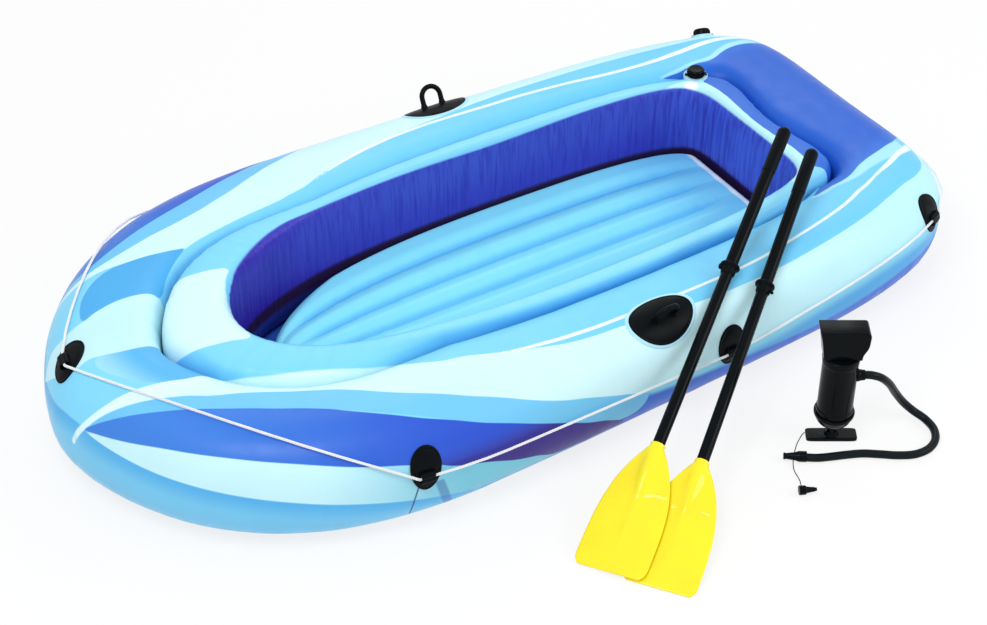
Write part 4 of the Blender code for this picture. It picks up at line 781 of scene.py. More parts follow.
def make_tube(which, stations, sides, puckers, prints, finish, slot):
    """A tube of the hull: an even grid on its skin with puckers, and how far inside each print it lies."""
    rolls, roll_table, girth_table = section_rolls(which, sides)
    step = 2 * HALF_AROUND / stations
    arounds = -HALF_AROUND + step * (np.arange(stations) + 0.5)
    around, roll = np.meshgrid(arounds, rolls, indexing="ij")
    draw = puckers(np.abs(around) + 0.003 * np.sign(around), roll)
    mesh = bmesh.new()
    rings = [[mesh.verts.new(skin(which, place, turn, -lift - SKIN_DEPTH))
              for turn, lift in zip(rolls, lifts)] for place, lifts in zip(arounds, draw)]
    join_rings(mesh, rings + rings[:1], ends=False)
    tube = thing(which + "_tube", mesh, finish, "boat", slot, [which + "_chamber"], 180)
    around, roll = around.ravel(), roll.ravel()
    signed_roll = roll if which == "inner" else (roll + pi / 2) % (2 * pi) - pi / 2
    middle_line = around + PRINT_SHIFT * (1 - np.clip((np.abs(around) - 0.45) / 0.75, 0, 1))
    places = np.stack([np.abs(middle_line), np.interp(signed_roll, roll_table, girth_table)], 1)
    fields = {"along": np.abs(around), "girth": places[:, 1], "drawn_in": draw.ravel() * 1000}
    for label, (side, points) in prints.items():
        inside = inside_by(smooth_outline(points) / 1000, places)
        if side:
            shown = (middle_line * side > -PRINT_LAP) | (np.abs(around) > HALF_AROUND - PRINT_LAP)
            inside = np.where(shown, inside, -PRINT_REACH)
        fields[label] = inside * 1000
    for label, values in fields.items():
        tube.data.attributes.new(label, "FLOAT", "POINT").data.foreach_set("value", values.astype(np.float32))


def printed_vinyl():
    """The printed skin of the outer tube: each print lies over the ones named before it. Painted shade
    darkens the low pale print towards the stern and lies in a band beside the seam's weld line.
    """
    finish = Finish("printed_vinyl", Specular_IOR_Level=0.2)
    along, girth = finish.attribute("along"), finish.attribute("girth")
    pale = finish.blend(along.over(1.0, 1.9), "CFF6FE", "BDF2FE")
    leaf = finish.blend(along.over(0.1, 0.75), "4183DF", "2C50CC")
    skin_colour = finish.printed(
        finish.blend(along.over(0.2, 1.4), "84D8FB", "72CEFA"),
        ("low_side", "90DCF4", 5.0, "4FA9E6", 40.0),
        ("bow_side", "56B4EE", 3.0, "78CCF4", 50.0),
        ("low_royal", "2C68D6", 8.0),
        ("pale_side", pale, 1.5),
        ("pale_far", pale, 1.5),
        # The low pale print, with painted shade darkening it towards the stern.
        ("pale_low", finish.blend(along.over(0.38, 0.68), "C9F4FD", "7ACBE2"), 1.5),
        ("pale_bow_near", "C4F1FD", 1.5),
        ("pale_bow_far", "C4F1FD", 1.5),
        ("lens_near", finish.blend(girth.over(0.17, 0.25), "9CDDF8", "55B5EE"), 1.5),
        ("lens_far", "4DADEA", 1.5),
        ("band_far", "72C6F4", 1.5),
        ("leaf_far", finish.blend(along.over(0.1, 0.75), "3F86DD", "2C50CC"), 1.2),
        ("band", "72C6F4", 1.5),
        ("wedge_near", finish.blend(along.over(0.08, 0.19), "DDF9FF", pale), 1.5),
        ("leaf", finish.blend(girth.over(0.0, 0.06), "3B2887", leaf), 1.2))
    below = girth.over(0.004, -0.002)
    weld = along - (girth + 0.1) * (girth + 0.1) * 1.45 - 0.5595
    weld_line = weld.over(-0.0018, -0.0010) * weld.over(0.0020, 0.0012) * below * 0.85
    # Painted shade of the seam: a darker blue band beside the weld line, below the middle line.
    lap = along + girth * 0.25 - 0.611
    seam_shade_band = lap.over(-0.012, -0.006) * lap.over(0.010, 0.005) * below * 0.55
    skin_colour = finish.blend(seam_shade_band, finish.blend(weld_line, skin_colour, "241F5C"), "2A5CA8")
    return vinyl_surface(finish, finish.printed(
        skin_colour,
        ("block_edge", "A9E8FC", 4.0),
        ("block_edge_far", "A9E8FC", 4.0),
        ("stripe_near", "ECFEFF", 1.5),
        ("stripe_far", "ECFEFF", 1.5),
        ("block", "2C70D8", 1.2, "2462CE", 40.0),
        ("block_far", "2C70D8", 1.2, "2462CE", 40.0)))


def vinyl_surface(finish, skin_colour, painted_fold_shade=0.06):
    """Weather, painted shade in the folds, roughness and fine relief of soft vinyl film over its print."""
    place = finish.place()
    cloudy, pebbles = finish.grain(place, 9.0), finish.grain(place, 900.0, 2.0)
    # Cloudy tone at random, and painted shade in the folds: darker where the skin is drawn in.
    cloudy_and_fold_shaded = finish.blend((cloudy - 0.5) * 0.16 + finish.attribute("drawn_in") * painted_fold_shade, skin_colour,
                          finish.blend(0.5, skin_colour, "123A8C"))
    slack = finish.grain(finish.stretched(place, 0.5), 55.0)
    finish.shade(Base_Color=cloudy_and_fold_shaded, Roughness=finish.grain(place, 30.0).over(0.3, 0.7, 0.30, 0.40),
                 Normal=finish.relief(pebbles * 0.05 + slack, 0.0016, 0.25))
    return finish


def wall_vinyl():
    """The inner tube: light printed top with painted shade along the crease and a painted highlight at the
    stern corner, and a violet wall with upright folds, painted shade in the folds and a painted shadow band
    above the cushion.
    """
    finish = Finish("wall_vinyl", Specular_IOR_Level=0.2)
    along, place = finish.attribute("along"), finish.place()
    height = finish.axes(place)[2]
    # Painted shade along the crease between the tubes, darker towards the stern.
    dusk = finish.blend(along.over(0.5, 1.0), "7ED6F9", "52AEEA")
    up = height.over(0.09, 0.20)
    bow_violet, stern_blue = finish.blend(up, "3B25AA", "4437B8"), finish.blend(up, "3D40BC", "4658C8")
    violet = finish.blend(along.over(0.25, 1.1), bow_violet, stern_blue)
    violet = finish.blend(along.over(1.6, 1.9), violet, "4C68E0")
    # Painted shade in the wall's folds: darker where the skin is drawn in, and in upright streaks.
    violet = finish.blend(finish.attribute("drawn_in").over(0.2, 2.0) * 0.5, violet, "2C2596")
    streaks = finish.grain(finish.stretched(place, 0.07), 170.0)
    violet = finish.blend(streaks.over(0.44, 0.66) * 0.42, violet, "3020A0")
    # Painted shadow: a dark band low on the wall just above the cushion, with the wall's blue below it.
    base = finish.blend(height.over(0.045, 0.062), "2B3FA6", "2C1C44")
    violet = finish.blend(height.over(0.079, 0.091), base, violet)
    return vinyl_surface(finish, finish.printed(
        finish.blend(along.over(0.2, 1.6), "7FD6FC", "8BDCFD"),
        # Painted shade along the crease, at the bow too, then print over it.
        ("dusk", dusk, 20.0),
        ("dusk_bow", "72CDF7", 7.0),
        ("pale_bow_near", "D3F9FE", 2.0),
        ("pale_bow_far", "D3F9FE", 2.0),
        ("pale_sweep", "D6F9FD", 3.0),
        ("rim", "BDF6FE", 4.0),
        # Painted highlight at the stern corner.
        ("glow", "FFFFFF", 11.0),
        ("block", "2C6CD4", 1.5),
        ("wall", violet, 3.5),
        ("lip", dusk, 3.0)), 0.0)


# How far the cushion's sides are drawn in, and its channels down
FLOOR_SIDE_DRAW, CHANNEL_DRAW = 0.0010, 0.013


def floor_half_width(x):
    """Half width of the floor cushion, which follows the cockpit."""
    edge, _ = halve(0.0, COCKPIT_WIDTH / 2, 1e-6, lambda y: outline_level(FLOOR_LINE, x, y) < 1.0)
    return edge - FLOOR_SIDE_DRAW


def shoulder(from_edge, width, depth):
    """How far a rounded edge lies below the face beside it."""
    missing = max(0.0, 1 - max(0.0, from_edge) / width)
    return depth * (1 - sqrt(1 - missing ** 2))


def make_floor_cushion(finish):
    """Air cushion of six tubes: rounded edge against the wall, welded channels with small puckers."""
    front, back = FLOOR_LINE[:2]
    stations, points = 200, 217
    mesh = bmesh.new()
    channel = mesh.verts.layers.float.new("channel")
    rings = []
    for number in range(stations):
        share = number / (stations - 1)
        x = front + 0.004 + (back - front - 0.006) * (0.35 * share + 0.65 * (0.5 - 0.5 * cos(pi * share)))
        half = floor_half_width(x)
        towards_bow = clamp((-0.26 - x) / 0.18)
        low_end = max(shoulder(x - front, 0.070, 0.045), shoulder(back - x, 0.014, 0.014))
        edge_width, edge_depth = 0.011 + 0.040 * towards_bow, 0.011 + 0.030 * towards_bow
        depth_here = CHANNEL_DRAW * clamp((back - 0.012 - x) / 0.09) ** 0.7 * min(1.0, (x - front) / 0.12)
        ring = [(x, -half * 0.95, CHAMBER_BOTTOM, 0.0), (x, -half * 0.99, 0.3 * FLOOR_HEIGHT, 0.0)]
        for place in range(points):
            across = -1 + 2 * (place + 0.5) / points
            wave = pi * FLOOR_CHANNELS * (across + 1) / 2
            ridge = abs(sin(wave)) if abs(across) < 1 - 1 / FLOOR_CHANNELS else 1.0
            pucker = noise.noise(Vector((x * 46, round(wave / pi) * 3.7, 0.0)))
            pucker += 0.6 * noise.noise(Vector((x * 95, round(wave / pi) * 5.1, 4.0)))
            valley = 0.6 * (1 - ridge ** 2) + 0.4 * (1 - ridge ** 0.72)
            edge = shoulder(half * (1 - abs(across)), edge_width, edge_depth)
            height = FLOOR_HEIGHT + 0.001 - depth_here * valley - min(0.052, hypot(low_end, edge))
            height += 0.10 * depth_here * pucker * hump(ridge, 0.35, 0.35)
            ring.append((x, across * half, height, (1 - ridge) * depth_here / CHANNEL_DRAW))
        ring += [(x, half * 0.99, 0.3 * FLOOR_HEIGHT, 0.0), (x, half * 0.95, CHAMBER_BOTTOM, 0.0)]
        verts = [mesh.verts.new(spot[:3]) for spot in ring]
        for vert, spot in zip(verts, ring):
            vert[channel] = spot[3]
        rings.append(verts)
    join_rings(mesh, rings)
    cushion = thing("floor_cushion_soft", mesh, finish, "boat", "floor_vinyl", ["floor_cushion"], 60)


def floor_vinyl():
    """The cushion's film: blue with painted shade in its channels, a white edge at the stern that is a
    painted highlight with a blue one beyond it, and painted shadow low on its sides.
    """
    finish = Finish("floor_vinyl", Specular_IOR_Level=0.2)
    place = finish.place()
    cloudy = finish.grain(place, 14.0)
    x, _, height = finish.axes(place)
    tone = finish.blend(x.over(0.35, 0.58), "8BEAFF", "7EDAFF")
    # Painted shade in the channels: darker where they are welded down.
    tone = finish.blend(finish.attribute("channel").over(0.25, 1.0) * 0.9, tone, "5ABEF8")
    # A white line along the stern edge is a painted highlight, with blue beyond it on the rounded end.
    tone = finish.blend(x.over(0.612, 0.618), tone, "EEFDFF")
    tone = finish.blend(x.over(0.624, 0.630), tone, "58B4F0")
    # Painted shadow: dark low on the cushion's sides and ends, in the gap by the wall.
    tone = finish.blend(height.over(0.044, 0.060), "30215E", tone)
    tone = finish.blend((cloudy - 0.5) * 0.3, tone, "4FB8F3")
    finish.shade(Base_Color=tone, Roughness=cloudy.over(0.3, 0.7, 0.30, 0.42),
                 Normal=finish.relief(finish.grain(place, 60.0), 0.0012, 0.3))
    return finish


# Fittings that follow the outer tube's skin
OUTER_GIRTH = section_rolls("outer", 8)[1:]


def skin_rate(around, roll, along=0.01, over=0.0):
    """Metres on the outer skin for each unit along the hull, or over it."""
    return (skin("outer", around + along, roll + over) - skin("outer", around - along, roll - over)).length \
        / (2 * (along + over))


def skin_spot(around, roll, along, over, lift):
    """Point of the outer skin some metres along and over from a place, lifted off it."""
    rolls, girths = OUTER_GIRTH
    there = float(np.interp(np.interp(roll, rolls, girths) + over, girths, rolls))
    return skin("outer", around + along / skin_rate(around, there), there, lift)


def skin_frame(around, roll, lift):
    """Frame on the outer tube: X along the hull, Y up over the tube, Z out of the skin."""
    step = 0.002
    along = skin("outer", around + step, roll) - skin("outer", around - step, roll)
    over = skin("outer", around, roll + step) - skin("outer", around, roll - step)
    out = along.cross(over).normalized()
    if out.dot(skin("outer", around, roll, step) - skin("outer", around, roll)) < 0:
        out = -out
    side = out.cross(along.normalized()).normalized()
    turn = Matrix((side.cross(out), side, out)).transposed()
    return Matrix.Translation(skin("outer", around, roll, lift)) @ turn.to_4x4()


def skin_patch(mesh, around, roll, length, height, profile, egg, segments, turned_by=0.0):
    """Oval pad on the skin. The profile gives, from the rim inwards, a share of the radius and a lift."""
    rings = []
    for share, lift in profile:
        ring = []
        for turn in turns(segments):
            along, over = cos(turn) * share, sin(turn) * share
            along *= (1.0 + egg * over) * length / 2
            over *= height / 2
            ring.append(mesh.verts.new(skin_spot(around, roll, along * cos(turned_by) - over * sin(turned_by),
                                                 along * sin(turned_by) + over * cos(turned_by), lift)))
        rings.append(ring)
    join_rings(mesh, rings)


def sweep(mesh, frames, profiles):
    """Skin over rings of points, each laid out in the XY plane of its frame."""
    join_rings(mesh, [[mesh.verts.new(place @ Vector((x, y, 0.0))) for x, y in ring]
                      for place, ring in zip(frames, profiles)])


def rounded_ring(width, height, power, count):
    """Ring of points like a box with soft corners."""
    return [(signed_power(cos(turn), 2 / power) * width / 2, signed_power(sin(turn), 2 / power) * height / 2)
            for turn in turns(count)]


# Grab rope and its holders, the same route as in the CAD source
ROPE_STANDOFF, ROPE_STEP, STRAND_LAP = 0.0072, 0.055, 0.020
HOLDER_LENGTH, HOLDER_HEIGHT, HOLDER_THICKNESS, HOLDER_EYE_DROP = 0.060, 0.092, 0.003, 0.014
EYE_LENGTH, EYE_HEIGHT, EYE_RISE = 0.030, 0.026, 0.0075
BOW_HOLDER_AROUND, BOW_HOLDER_ROLL = -0.042, radians(58)
BOW_HOLDER_SHIFT, BOW_HOLDER_TURN = 0.009, radians(55)
SIDE_HOLDERS = (("fore", -0.430, radians(8)), ("aft", 0.259, radians(-1)))
STERN_HOLDERS = {"near": (radians(45.6), radians(18)), "far": (radians(40), radians(6))}
OARLOCK_X, OARLOCK_ROLL = 0.120, radians(64)
OARLOCK_PAD_LENGTH, OARLOCK_PAD_HEIGHT, OARLOCK_PAD_THICKNESS = 0.118, 0.100, 0.004
OARLOCK_HOLE_WIDTH, OARLOCK_HOLE_HEIGHT, OARLOCK_LOOP_RADIUS = 0.032, 0.034, 0.0055


def holder_around(x):
    """Distance around the hull at which the hull's edge has a given x."""
    return halve(0.0, HALF_AROUND, 1e-5, lambda around: skin("outer", around, 0.0).x < x)[0]


def holder_places():
    """Name, distance around the hull and roll of each rope holder, in order from the bow."""
    places = [("bow", BOW_HOLDER_AROUND, BOW_HOLDER_ROLL)]
    for side, side_name in ((1, "near"), (-1, "far")):
        for tag, x, roll in SIDE_HOLDERS:
            places.append((f"{tag}_{side_name}", side * holder_around(x), roll))
        bearing, roll = STERN_HOLDERS[side_name]
        places.append((f"stern_{side_name}", stern_around(bearing, side), roll))
    return sorted(places, key=lambda place: place[1])


def wrap(place):
    """Bring a distance around the hull back to the half turn on either side of the bow."""
    around, roll = place
    return around - 2 * HALF_AROUND if around > HALF_AROUND else around, roll


def clear_of_tube(point):
    """Whether a point lies outside the outer tube by the rope's standoff."""
    around = around_at(point.x, point.y)
    base_x, _ = station(around)
    edge, crease, _ = chamber_spans(around)
    distance = hypot(point.x - base_x, point.y) - (edge + crease) / 2
    height = point.z - (HULL_HEIGHT + CHAMBER_BOTTOM) / 2
    power = TUBE_POWER if distance >= 0 else WALL_POWER
    out = signed_power(distance / ((edge - crease) / 2), power / 2)
    up = signed_power(height / ((HULL_HEIGHT - CHAMBER_BOTTOM) / 2), power / 2)
    there = section_point(crease, edge, (TUBE_POWER, WALL_POWER), atan2(up, out), ROPE_STANDOFF)
    limit = hypot(there[0] - (edge + crease) / 2, there[1] - (HULL_HEIGHT + CHAMBER_BOTTOM) / 2)
    return hypot(distance, height) >= limit


def taut_run(start, end, steps):
    """Points of a rope pulled straight over the outer tube between two places on it."""
    first, last = skin("outer", *start, ROPE_STANDOFF), skin("outer", *end, ROPE_STANDOFF)
    out = (skin_frame(*start, 0.0).col[2].xyz + skin_frame(*end, 0.0).col[2].xyz).normalized()
    points = []
    for number in range(1, steps):
        straight = first.lerp(last, number / steps)
        _, away = halve(0.0, HULL_HEIGHT, 1e-4, lambda far: not clear_of_tube(straight + out * far))
        points.append(straight + out * away)
    return points


def rope_points(places):
    """The closed route of the grab rope through every holder's eye."""
    route = []
    for index, (_, around, roll) in enumerate(places):
        half_eye = EYE_LENGTH / 2 / skin_rate(around, roll)
        after = around + half_eye
        route += [skin("outer", spot, roll, ROPE_STANDOFF) for spot in (around - half_eye, around, after)]
        _, next_around, next_roll = places[(index + 1) % len(places)]
        if next_around < around:
            next_around += 2 * HALF_AROUND
        end = wrap((next_around - half_eye, next_roll))
        length = (skin("outer", *end) - skin("outer", after, roll)).length
        route += taut_run((after, roll), end, max(2, -int(-length // ROPE_STEP)))
    return route


def braid_rope(route, finish):
    """Rope braided of strands that run both ways round a closed route."""
    curve = bpy.data.curves.new("rope_route", "CURVE")
    curve.dimensions = "3D"
    line = curve.splines.new("POLY")
    line.points.add(len(route) - 1)
    for knot, point in zip(line.points, route):
        knot.co = (*point, 1.0)
    line.use_cyclic_u = True
    laps = round(route_length([*route, route[0]]) / STRAND_LAP)
    tree = Builder("braid", finish, Step=0.0032, Strands=6, Turns=laps, Reach=0.0018, Strand=0.00098,
                   Weave=0.00022)
    start = Signal(tree, tree.start.outputs["Geometry"])
    even = tree.node("GeometryNodeResampleCurve", {"mode": "LENGTH"}, start, Length=tree.size("Step"))
    strands = tree.node("GeometryNodeDuplicateElements", {"domain": "SPLINE"}, Geometry=even,
                        Amount=tree.size("Strands"))
    number = strands.beside("Duplicate Index")
    turned_by = tree.node("GeometryNodeSplineParameter") * tree.size("Turns") * (2 * pi)
    way = number % 2.0 * 2.0 - 1.0
    angle = turned_by * way + number * 2 * pi / tree.size("Strands")
    reach_out = tree.size("Reach") + (turned_by * 3.0 + way * (pi / 2)).sine() * tree.size("Weave")
    normal, tangent = tree.node("GeometryNodeInputNormal"), tree.node("GeometryNodeInputTangent")
    side = tree.node("ShaderNodeVectorMath", {"operation": "CROSS_PRODUCT"}, tangent, normal)
    offset = normal.grown(angle.cosine() * reach_out).plus(side.grown(angle.sine() * reach_out))
    moved = tree.node("GeometryNodeSetPosition", {}, Geometry=strands, Offset=offset)
    ring = tree.node("GeometryNodeCurvePrimitiveCircle", {}, Resolution=6, Radius=tree.size("Strand"))
    skinned = tree.node("GeometryNodeCurveToMesh", {}, Curve=moved, Profile_Curve=ring)
    smooth = tree.node("GeometryNodeSetShadeSmooth", {}, skinned)
    return tree.build(smooth, put("rope_route", curve), "braided_rope")


def make_rope(rope_finish, pad_finish):
    """The grab rope, and for each holder a welded patch with the eye that the rope runs through."""
    places = holder_places()
    rope = braid_rope(rope_points(places), rope_finish)
    settle(rope, rope_finish, "boat", ["grab_rope"], sharp=180)
    top, half, peak = HOLDER_THICKNESS, EYE_HEIGHT / 2, ROPE_STANDOFF + EYE_RISE * 0.86
    rims = ((1.0, -0.001), (1.0, top * 0.45), (0.985, top * 0.75), (0.955, top * 0.86), (0.90, top * 0.80),
            (0.86, top * 0.62), (0.82, top * 0.80), (0.76, top * 0.98), (0.5, top), (0.2, top))
    for tag, around, roll in places:
        at_bow = tag == "bow"
        drop = HOLDER_EYE_DROP - (BOW_HOLDER_SHIFT if at_bow else 0.0)
        mesh = bmesh.new()
        middle = roll + drop / skin_rate(around, roll, 0.0, 0.01)
        skin_patch(mesh, around, middle, HOLDER_LENGTH, HOLDER_HEIGHT, rims, egg=0.12, segments=56,
                   turned_by=BOW_HOLDER_TURN if at_bow else 0.0)
        frame_here = skin_frame(around, roll, 0.0)
        frames, rings = [], []
        for number in range(17):
            turn = pi * number / 16
            lift = 0.0015 + (peak - 0.0032) * sin(turn) ** 0.8
            place = frame_here @ Matrix.Translation((0.0, -half * cos(turn) * 0.80, lift))
            frames.append(place @ Matrix.Rotation(turn, 4, "X") @ Matrix.Rotation(-pi / 2, 4, "X"))
            spread = abs(cos(turn))
            rings.append(rounded_ring(EYE_LENGTH * (0.88 + 0.10 * spread), 0.0032 + 0.0022 * spread,
                                      power=4.0, count=24))
        sweep(mesh, frames, rings)
        thing(f"rope_patch_{tag}", mesh, pad_finish, "boat", "black_vinyl", [f"rope_holder_{tag}"])


def make_oarlocks(finish, film):
    """Two oarlocks: an oval pad with an upright loop, and the pale weld round the pad."""
    length, height = OARLOCK_PAD_LENGTH * 1.19, OARLOCK_PAD_HEIGHT * 1.12
    top, half = OARLOCK_PAD_THICKNESS, OARLOCK_HOLE_WIDTH / 2 + OARLOCK_LOOP_RADIUS
    spring = top + OARLOCK_HOLE_HEIGHT - OARLOCK_HOLE_WIDTH / 2
    line = [Vector((-half, 0.0, z)) for z in (0.0, 0.003, 0.006, 0.010)]
    line += [Vector((-half * cos(pi * k / 24), 0.0, spring + half * sin(pi * k / 24))) for k in range(25)]
    line += [Vector((half, 0.0, z)) for z in (0.010, 0.006, 0.003, 0.0)]
    across = Vector((0, 1, 0))
    for side, side_name in ((1, "near"), (-1, "far")):
        around = side * (HALF_TURN + OARLOCK_X - SPINE_FRONT_X)
        mesh = bmesh.new()
        skin_patch(mesh, around, OARLOCK_ROLL, length, height,
                   ((1.0, -0.001), (1.0, top * 0.3), (0.99, top * 0.5), (0.95, top * 0.62), (0.93, top * 0.5),
                    (0.90, top * 0.62), (0.80, top * 0.8), (0.55, top * 1.0), (0.3, top * 1.1)),
                   egg=0.14, segments=80)
        place = skin_frame(around, OARLOCK_ROLL, FIT_GAP + 0.0015)
        rings, frames = [], []
        for index, point in enumerate(line):
            way = (line[min(len(line) - 1, index + 1)] - line[max(0, index - 1)]).normalized()
            twist = Matrix((way.cross(across) * -1, across, way)).transposed().to_4x4()
            frames.append(place @ Matrix.Translation(point) @ twist)
            radius = OARLOCK_LOOP_RADIUS * (1.0 + 0.7 * max(0.0, 1 - point.z / 0.012) ** 2)
            rings.append([(cos(turn) * radius, sin(turn) * radius * 1.05) for turn in turns(20)])
        sweep(mesh, frames, rings)
        thing(f"oarlock_pad_{side_name}", mesh, finish, "boat", "black_vinyl", [f"oarlock_{side_name}"])
        mesh = bmesh.new()
        skin_patch(mesh, around, OARLOCK_ROLL, length + 0.014, height + 0.014,
                   ((1.0, -0.001), (1.0, 0.0004), (0.985, 0.0009), (0.92, 0.0010), (0.5, 0.0010)),
                   egg=0.14, segments=80)
        thing(f"oarlock_weld_{side_name}", mesh, film, "boat", "printed_vinyl")


# Turned and cast fittings


def eased(corners):
    """Closed line with its corners rounded: each is a radius, a height and how much to round it."""
    steps, line = 4, []
    for index, (radius, height, ease) in enumerate(corners):
        here = Vector((radius, height))
        if not ease:
            line.append(here)
            continue
        before, after = Vector(corners[index - 1][:2]), Vector(corners[(index + 1) % len(corners)][:2])
        start, end = here + (before - here).normalized() * ease, here + (after - here).normalized() * ease
        line += [start * (1 - t) ** 2 + here * (2 * t * (1 - t)) + end * t ** 2
                 for t in (number / steps for number in range(steps + 1))]
    return line


def lathe(mesh, place, corners, segments=48):
    """Turn a closed profile about a place's Z axis."""
    rings = []
    for radius, height in eased(corners):
        rings.append([mesh.verts.new(place @ Vector((cos(turn) * radius, sin(turn) * radius, height)))
                      for turn in turns(1 if radius < 1e-6 else segments)])
    for low, high in zip(rings, rings[1:] + rings[:1]):
        for side in range(segments):
            after = (side + 1) % segments
            ring = list(dict.fromkeys((low[side % len(low)], low[after % len(low)],
                                       high[after % len(high)], high[side % len(high)])))
            if len(ring) > 2:
                mesh.faces.new(ring)


def turned(name, place, corners, finish, body, slot, replaces=(), segments=48):
    """A turned piece."""
    mesh = bmesh.new()
    lathe(mesh, place, corners, segments)
    return thing(name, mesh, finish, body, slot, replaces)


def slab(mesh, place, outline, low, high, ease):
    """Solid with an outline in the place's XY plane, from a low to a high Z, with rounded rims."""
    ring = [Vector(point) for point in outline]
    later, earlier = ring[1:] + ring[:1], ring[-1:] + ring[:-1]
    ways = [(after - before).normalized() for after, before in zip(later, earlier)]
    clockwise = sum(a.x * b.y - b.x * a.y for a, b in zip(ring, later)) < 0
    outward = [Vector((-way.y, way.x)) if clockwise else Vector((way.y, -way.x)) for way in ways]
    bend = [(ease * (1 - cos(turn)), ease * (1 - sin(turn))) for turn in (pi / 8 * k for k in range(5))]
    levels = [(low, ease * 1.2), *((low + rise, inset) for rise, inset in bend),
              *((high - rise, inset) for rise, inset in reversed(bend)), (high, ease * 1.2)]
    join_rings(mesh, [[mesh.verts.new(place @ Vector((*(point - away * inset), height)))
                       for point, away in zip(ring, outward)] for height, inset in levels])


def at_height(place, height):
    """A place moved up its own Z axis."""
    return place @ Matrix.Translation((0.0, 0.0, height))


def ribs_round(name, place, finish, body, slot, **sizes):
    """Upright ribs in a ring about a place's Z axis."""
    tree = Builder(name, finish, **sizes)
    ring = tree.node("GeometryNodeMeshCircle", {}, Vertices=tree.size("Count"), Radius=tree.size("Radius"))
    rib = tree.node("GeometryNodeMeshCylinder", {}, Vertices=8, Radius=tree.size("Thickness") * 0.5,
                    Depth=tree.size("Height"))
    tree.build_many(ring, rib, place, body, slot)


def rings_along(name, place, finish, body, slot, **sizes):
    """Raised rings at even steps along a place's Z axis."""
    tree = Builder(name, finish, **sizes)
    line = tree.node("GeometryNodeMeshLine", {}, Count=tree.size("Count"),
                     Offset=tree.vector(z=tree.size("Step")))
    circle = tree.node("GeometryNodeCurvePrimitiveCircle", {}, Resolution=40, Radius=tree.size("Radius"))
    bead = tree.node("GeometryNodeCurvePrimitiveCircle", {}, Resolution=6,
                     Radius=tree.size("Thickness") * 0.5)
    ring = tree.node("GeometryNodeCurveToMesh", {}, Curve=circle, Profile_Curve=bead)
    tree.build_many(line, ring, place, body, slot)


def treads(name, place, finish, body, slot, **sizes):
    """A row of low bars across a plate."""
    tree = Builder(name, finish, **sizes)
    line = tree.node("GeometryNodeMeshLine", {}, Count=tree.size("Count"),
                     Offset=tree.vector(tree.size("Step")))
    bar = tree.node("GeometryNodeMeshCube", {},
                    Size=tree.vector(tree.size("Thickness"), tree.size("Length"), tree.size("Height")))
    tree.build_many(line, bar, place, body, slot, sharp=20)


# Valves, the same sizes as in the CAD source
VALVE_BORE_RADIUS, VALVE_NECK_RADIUS, VALVE_NECK_TOP, VALVE_ROOT = 0.0112, 0.0138, 0.0110, 0.006
VALVE_FLANGE_RADIUS, VALVE_FLANGE_THICKNESS = 0.0265, 0.002
PLUG_HEAD_RADIUS, PLUG_HEAD_THICKNESS = 0.0145, 0.003
PLUG_LENGTH, CAP_RADIUS, CAP_WALL, CAP_HINGE_X, CAP_KNUCKLE_RADIUS = 0.010, 0.0186, 0.0017, -0.0230, 0.0014
CAP_CEILING, CAP_TAB_WIDTH = 0.0025, 0.009
VALVES = (
    ("outer", (0.79404, 0.36893, 0.21646), (-0.92835, 0.3717, 0.0), (0.24912, 0.6222, 0.74217)),
    ("inner", (0.66238, 0.21611, 0.2403), (-0.88942, 0.45709, 0.0), (0.0, 0.0, 1.0)),
    ("floor", (0.5, -0.10708, 0.07501), (1.0, 0.0, 0.0), (0.0, 0.0, 1.0)),
)


def frame_from(origin, x_axis, z_axis):
    """Matrix with the given origin, its Z along z_axis and its X close to x_axis."""
    up = Vector(z_axis).normalized()
    across = up.cross(Vector(x_axis)).normalized()
    turn = Matrix((across.cross(up), across, up)).transposed()
    return Matrix.Translation(origin) @ turn.to_4x4()


